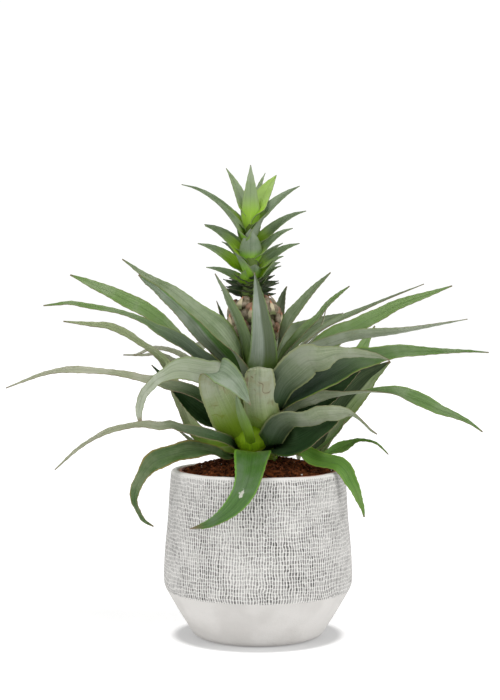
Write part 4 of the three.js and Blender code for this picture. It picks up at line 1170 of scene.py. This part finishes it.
def crown_leaf(name, azimuth, height, reach, tip, width, bow, skins, foot=0.4, taper=1.75):
    """A crown leaf: it leaves the axis at its root height and bows out to its tip."""
    out = outward(azimuth)
    start = crown_core_radius(height) - CROWN_LEAF_SINK
    stations = [(start - 1, -5), (start + 0.5, 0)]
    for share in (0.3, 0.55, 0.78, 1):
        rise = (tip - height) * (share + bow * share * (1 - share) * 1.6)
        stations.append((start + (reach - start) * share, rise))
    path = [out * radius + [CROWN_X, 0, height + climb] for radius, climb in stations]
    centre, along, _ = curve_stations(path, CROWN_ROWS + 1)
    t = np.linspace(0, 1, CROWN_ROWS + 1)
    turn = math.radians(CROWN_TWIST) * out[0] * smooth(t, 0, 0.35)[:, None]
    side, lift = blade_frame(np.array([-out[1], out[0], 0]), along, turn)
    breadth = width * (1 - t ** taper) * (0.55 + 0.45 * smooth(t, 0, 0.3))
    half_width = np.maximum(0.5 * breadth, CROWN_TIP_HALF_WIDTH)
    every_second = np.where(np.arange(CROWN_ROWS + 1) % 2 == 1, CROWN_SPINE, 0)
    teeth = every_second * smooth(t, 0.15, 0.3) * smooth(t, 1, 0.9)

    def climb(edge, row):
        return 0.55 * (1 - 0.4 * t[row][:, None]) * edge ** 1.6

    shape = toothed_shape(centre, along, side, lift, half_width, climb, teeth, 0.7)
    piece = blade_piece(name, CROWN_COLUMNS, CROWN_ROWS, CROWN_LEAF_THICKNESS, skins, shape)
    mark_leaf(piece, random.uniform(0.9, 1.12), foot)
    return piece


def build_crown():
    heights = np.linspace(FRUIT_TOP_Z + 0.5, CROWN_TOP_Z, 14)
    outline = [(crown_core_radius(height), height) for height in heights]
    core = shifted(turned_piece("crown_core", outline, SKINS["scale"], 24), CROWN_X)
    mark_leaf(core, 1, 0.3)
    pieces = [core]
    green = (SKINS["crown"], SKINS["crown under"], PALE_MARGIN)
    pale = (SKINS["crown pale"], SKINS["crown pale"], PALE_MARGIN)
    dark = (SKINS["scale"], SKINS["scale"], SCALE_MARGIN)
    lime = (SKINS["crown lime"], SKINS["crown lime"], PALE_MARGIN)
    for i, leaf in enumerate(CROWN_LEAVES):
        skins = lime if i == 3 else pale if i < 3 else green
        taper = 2.6 if i in BLUNT_LEAVES else 1.75
        pieces.append(crown_leaf(f"crown_leaf_{i}", *leaf, skins, LIMY_FEET.get(i, 0.46), taper))
    for i in range(CROWN_BACK_LEAVES):
        share = i / CROWN_BACK_LEAVES
        azimuth = 50 + 80 * (0.618 * i % 1)
        height = 284 + 46 * share
        reach = 38 - 18 * share ** 2
        tip = height + 19 + 20 * share
        pieces.append(crown_leaf(f"crown_back_leaf_{i}", azimuth, height, reach, tip, 12, 0.5, green))
    for i in range(CROWN_SCALES):
        height = 275 + 0.36 * i
        reach = random.uniform(18, 26)
        tip = height + random.uniform(0, 6)
        azimuth = 10 + SPIRAL_TURN * i
        pieces.append(crown_leaf(f"crown_scale_{i}", azimuth, height, reach, tip, 7, -0.5, dark))
    return joined("leafy_crown", pieces)


# Camera, lights and stage
CAMERA_X = -6.5
CAMERA_Z = 262.7
CAMERA_DISTANCE = 1200
CAMERA_PITCH = 1.51
LENS = 76.2
SENSOR_WIDTH = 36
FLOOR_SIZE = 12
LIGHTS_AIM = (0, 0, 0.2)
# Two wide suns: name, place, spread in degrees, power
SUNS = (
    ("right softbox", (1.6, -1.0, 1.3), 45, 1.6),
    ("left softbox", (-1.6, -1.0, 1.3), 45, 1.4),
)
# The backdrop looks brighter to the camera than the light that it gives
BACKDROP_LIGHT = 0.43
BACKDROP_GLOW = 0.62
# The floor's own glow inside its painted shadow round the pot, and how much more it has beyond it
FLOOR_GLOW = 0.22
FLOOR_GLOW_BEYOND_SHADOW = 0.18


def lay_floor():
    bpy.ops.mesh.primitive_plane_add(size=FLOOR_SIZE)
    floor = bpy.context.object
    floor.name = "floor"
    floor.data.materials.append(floor_finish())


def place_camera():
    bpy.ops.object.camera_add(
        location=(CAMERA_X * MM, -CAMERA_DISTANCE * MM, CAMERA_Z * MM),
        rotation=(math.radians(90 - CAMERA_PITCH), 0, 0))
    camera = bpy.context.object
    camera.data.sensor_width = SENSOR_WIDTH
    camera.data.lens = LENS
    bpy.context.scene.camera = camera


def hang_lights():
    for name, place, spread, power in SUNS:
        bpy.ops.object.light_add(type="SUN", location=place)
        light = bpy.context.object
        light.name = name
        light.data.angle = math.radians(spread)
        light.data.energy = power
        aim = Vector(LIGHTS_AIM) - Vector(place)
        light.rotation_euler = aim.to_track_quat("-Z", "Y").to_euler()


def light_world():
    world = bpy.data.worlds.new("white studio")
    bpy.context.scene.world = world
    world.use_nodes = True
    tree = world.node_tree
    backdrop = tree.nodes["Background"]
    plug(tree, backdrop.inputs["Color"], (1, 1, 1))
    seen = add_node(tree, "LightPath", {}, "Is Camera Ray")
    plug(tree, backdrop.inputs["Strength"], seen * BACKDROP_GLOW + BACKDROP_LIGHT)
    bpy.context.scene.view_settings.view_transform = "Standard"


lay_floor()
place_camera()
hang_lights()
light_world()
bpy.ops.object.select_all(action="DESELECT")

for node, leaf in grow_rosette():
    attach(leaf, "root")
    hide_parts(node)

REPLACEMENTS = (
    (build_pot, "pot", "ceramic"),
    (build_grow_pot, "grow_pot", "nursery_plastic"),
    (build_heart, "stem", "stem"),
    (build_fruit, "fruit", "fruit_skin"),
    (build_crown, "crown", "crown_leaf"),
)
for build, node, slot in REPLACEMENTS:
    piece = build()
    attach(piece, "root")
    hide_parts(node)

soil_pieces = (build_soil(), *build_litter())
for piece in soil_pieces:
    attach(piece, "root")
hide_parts("soil")
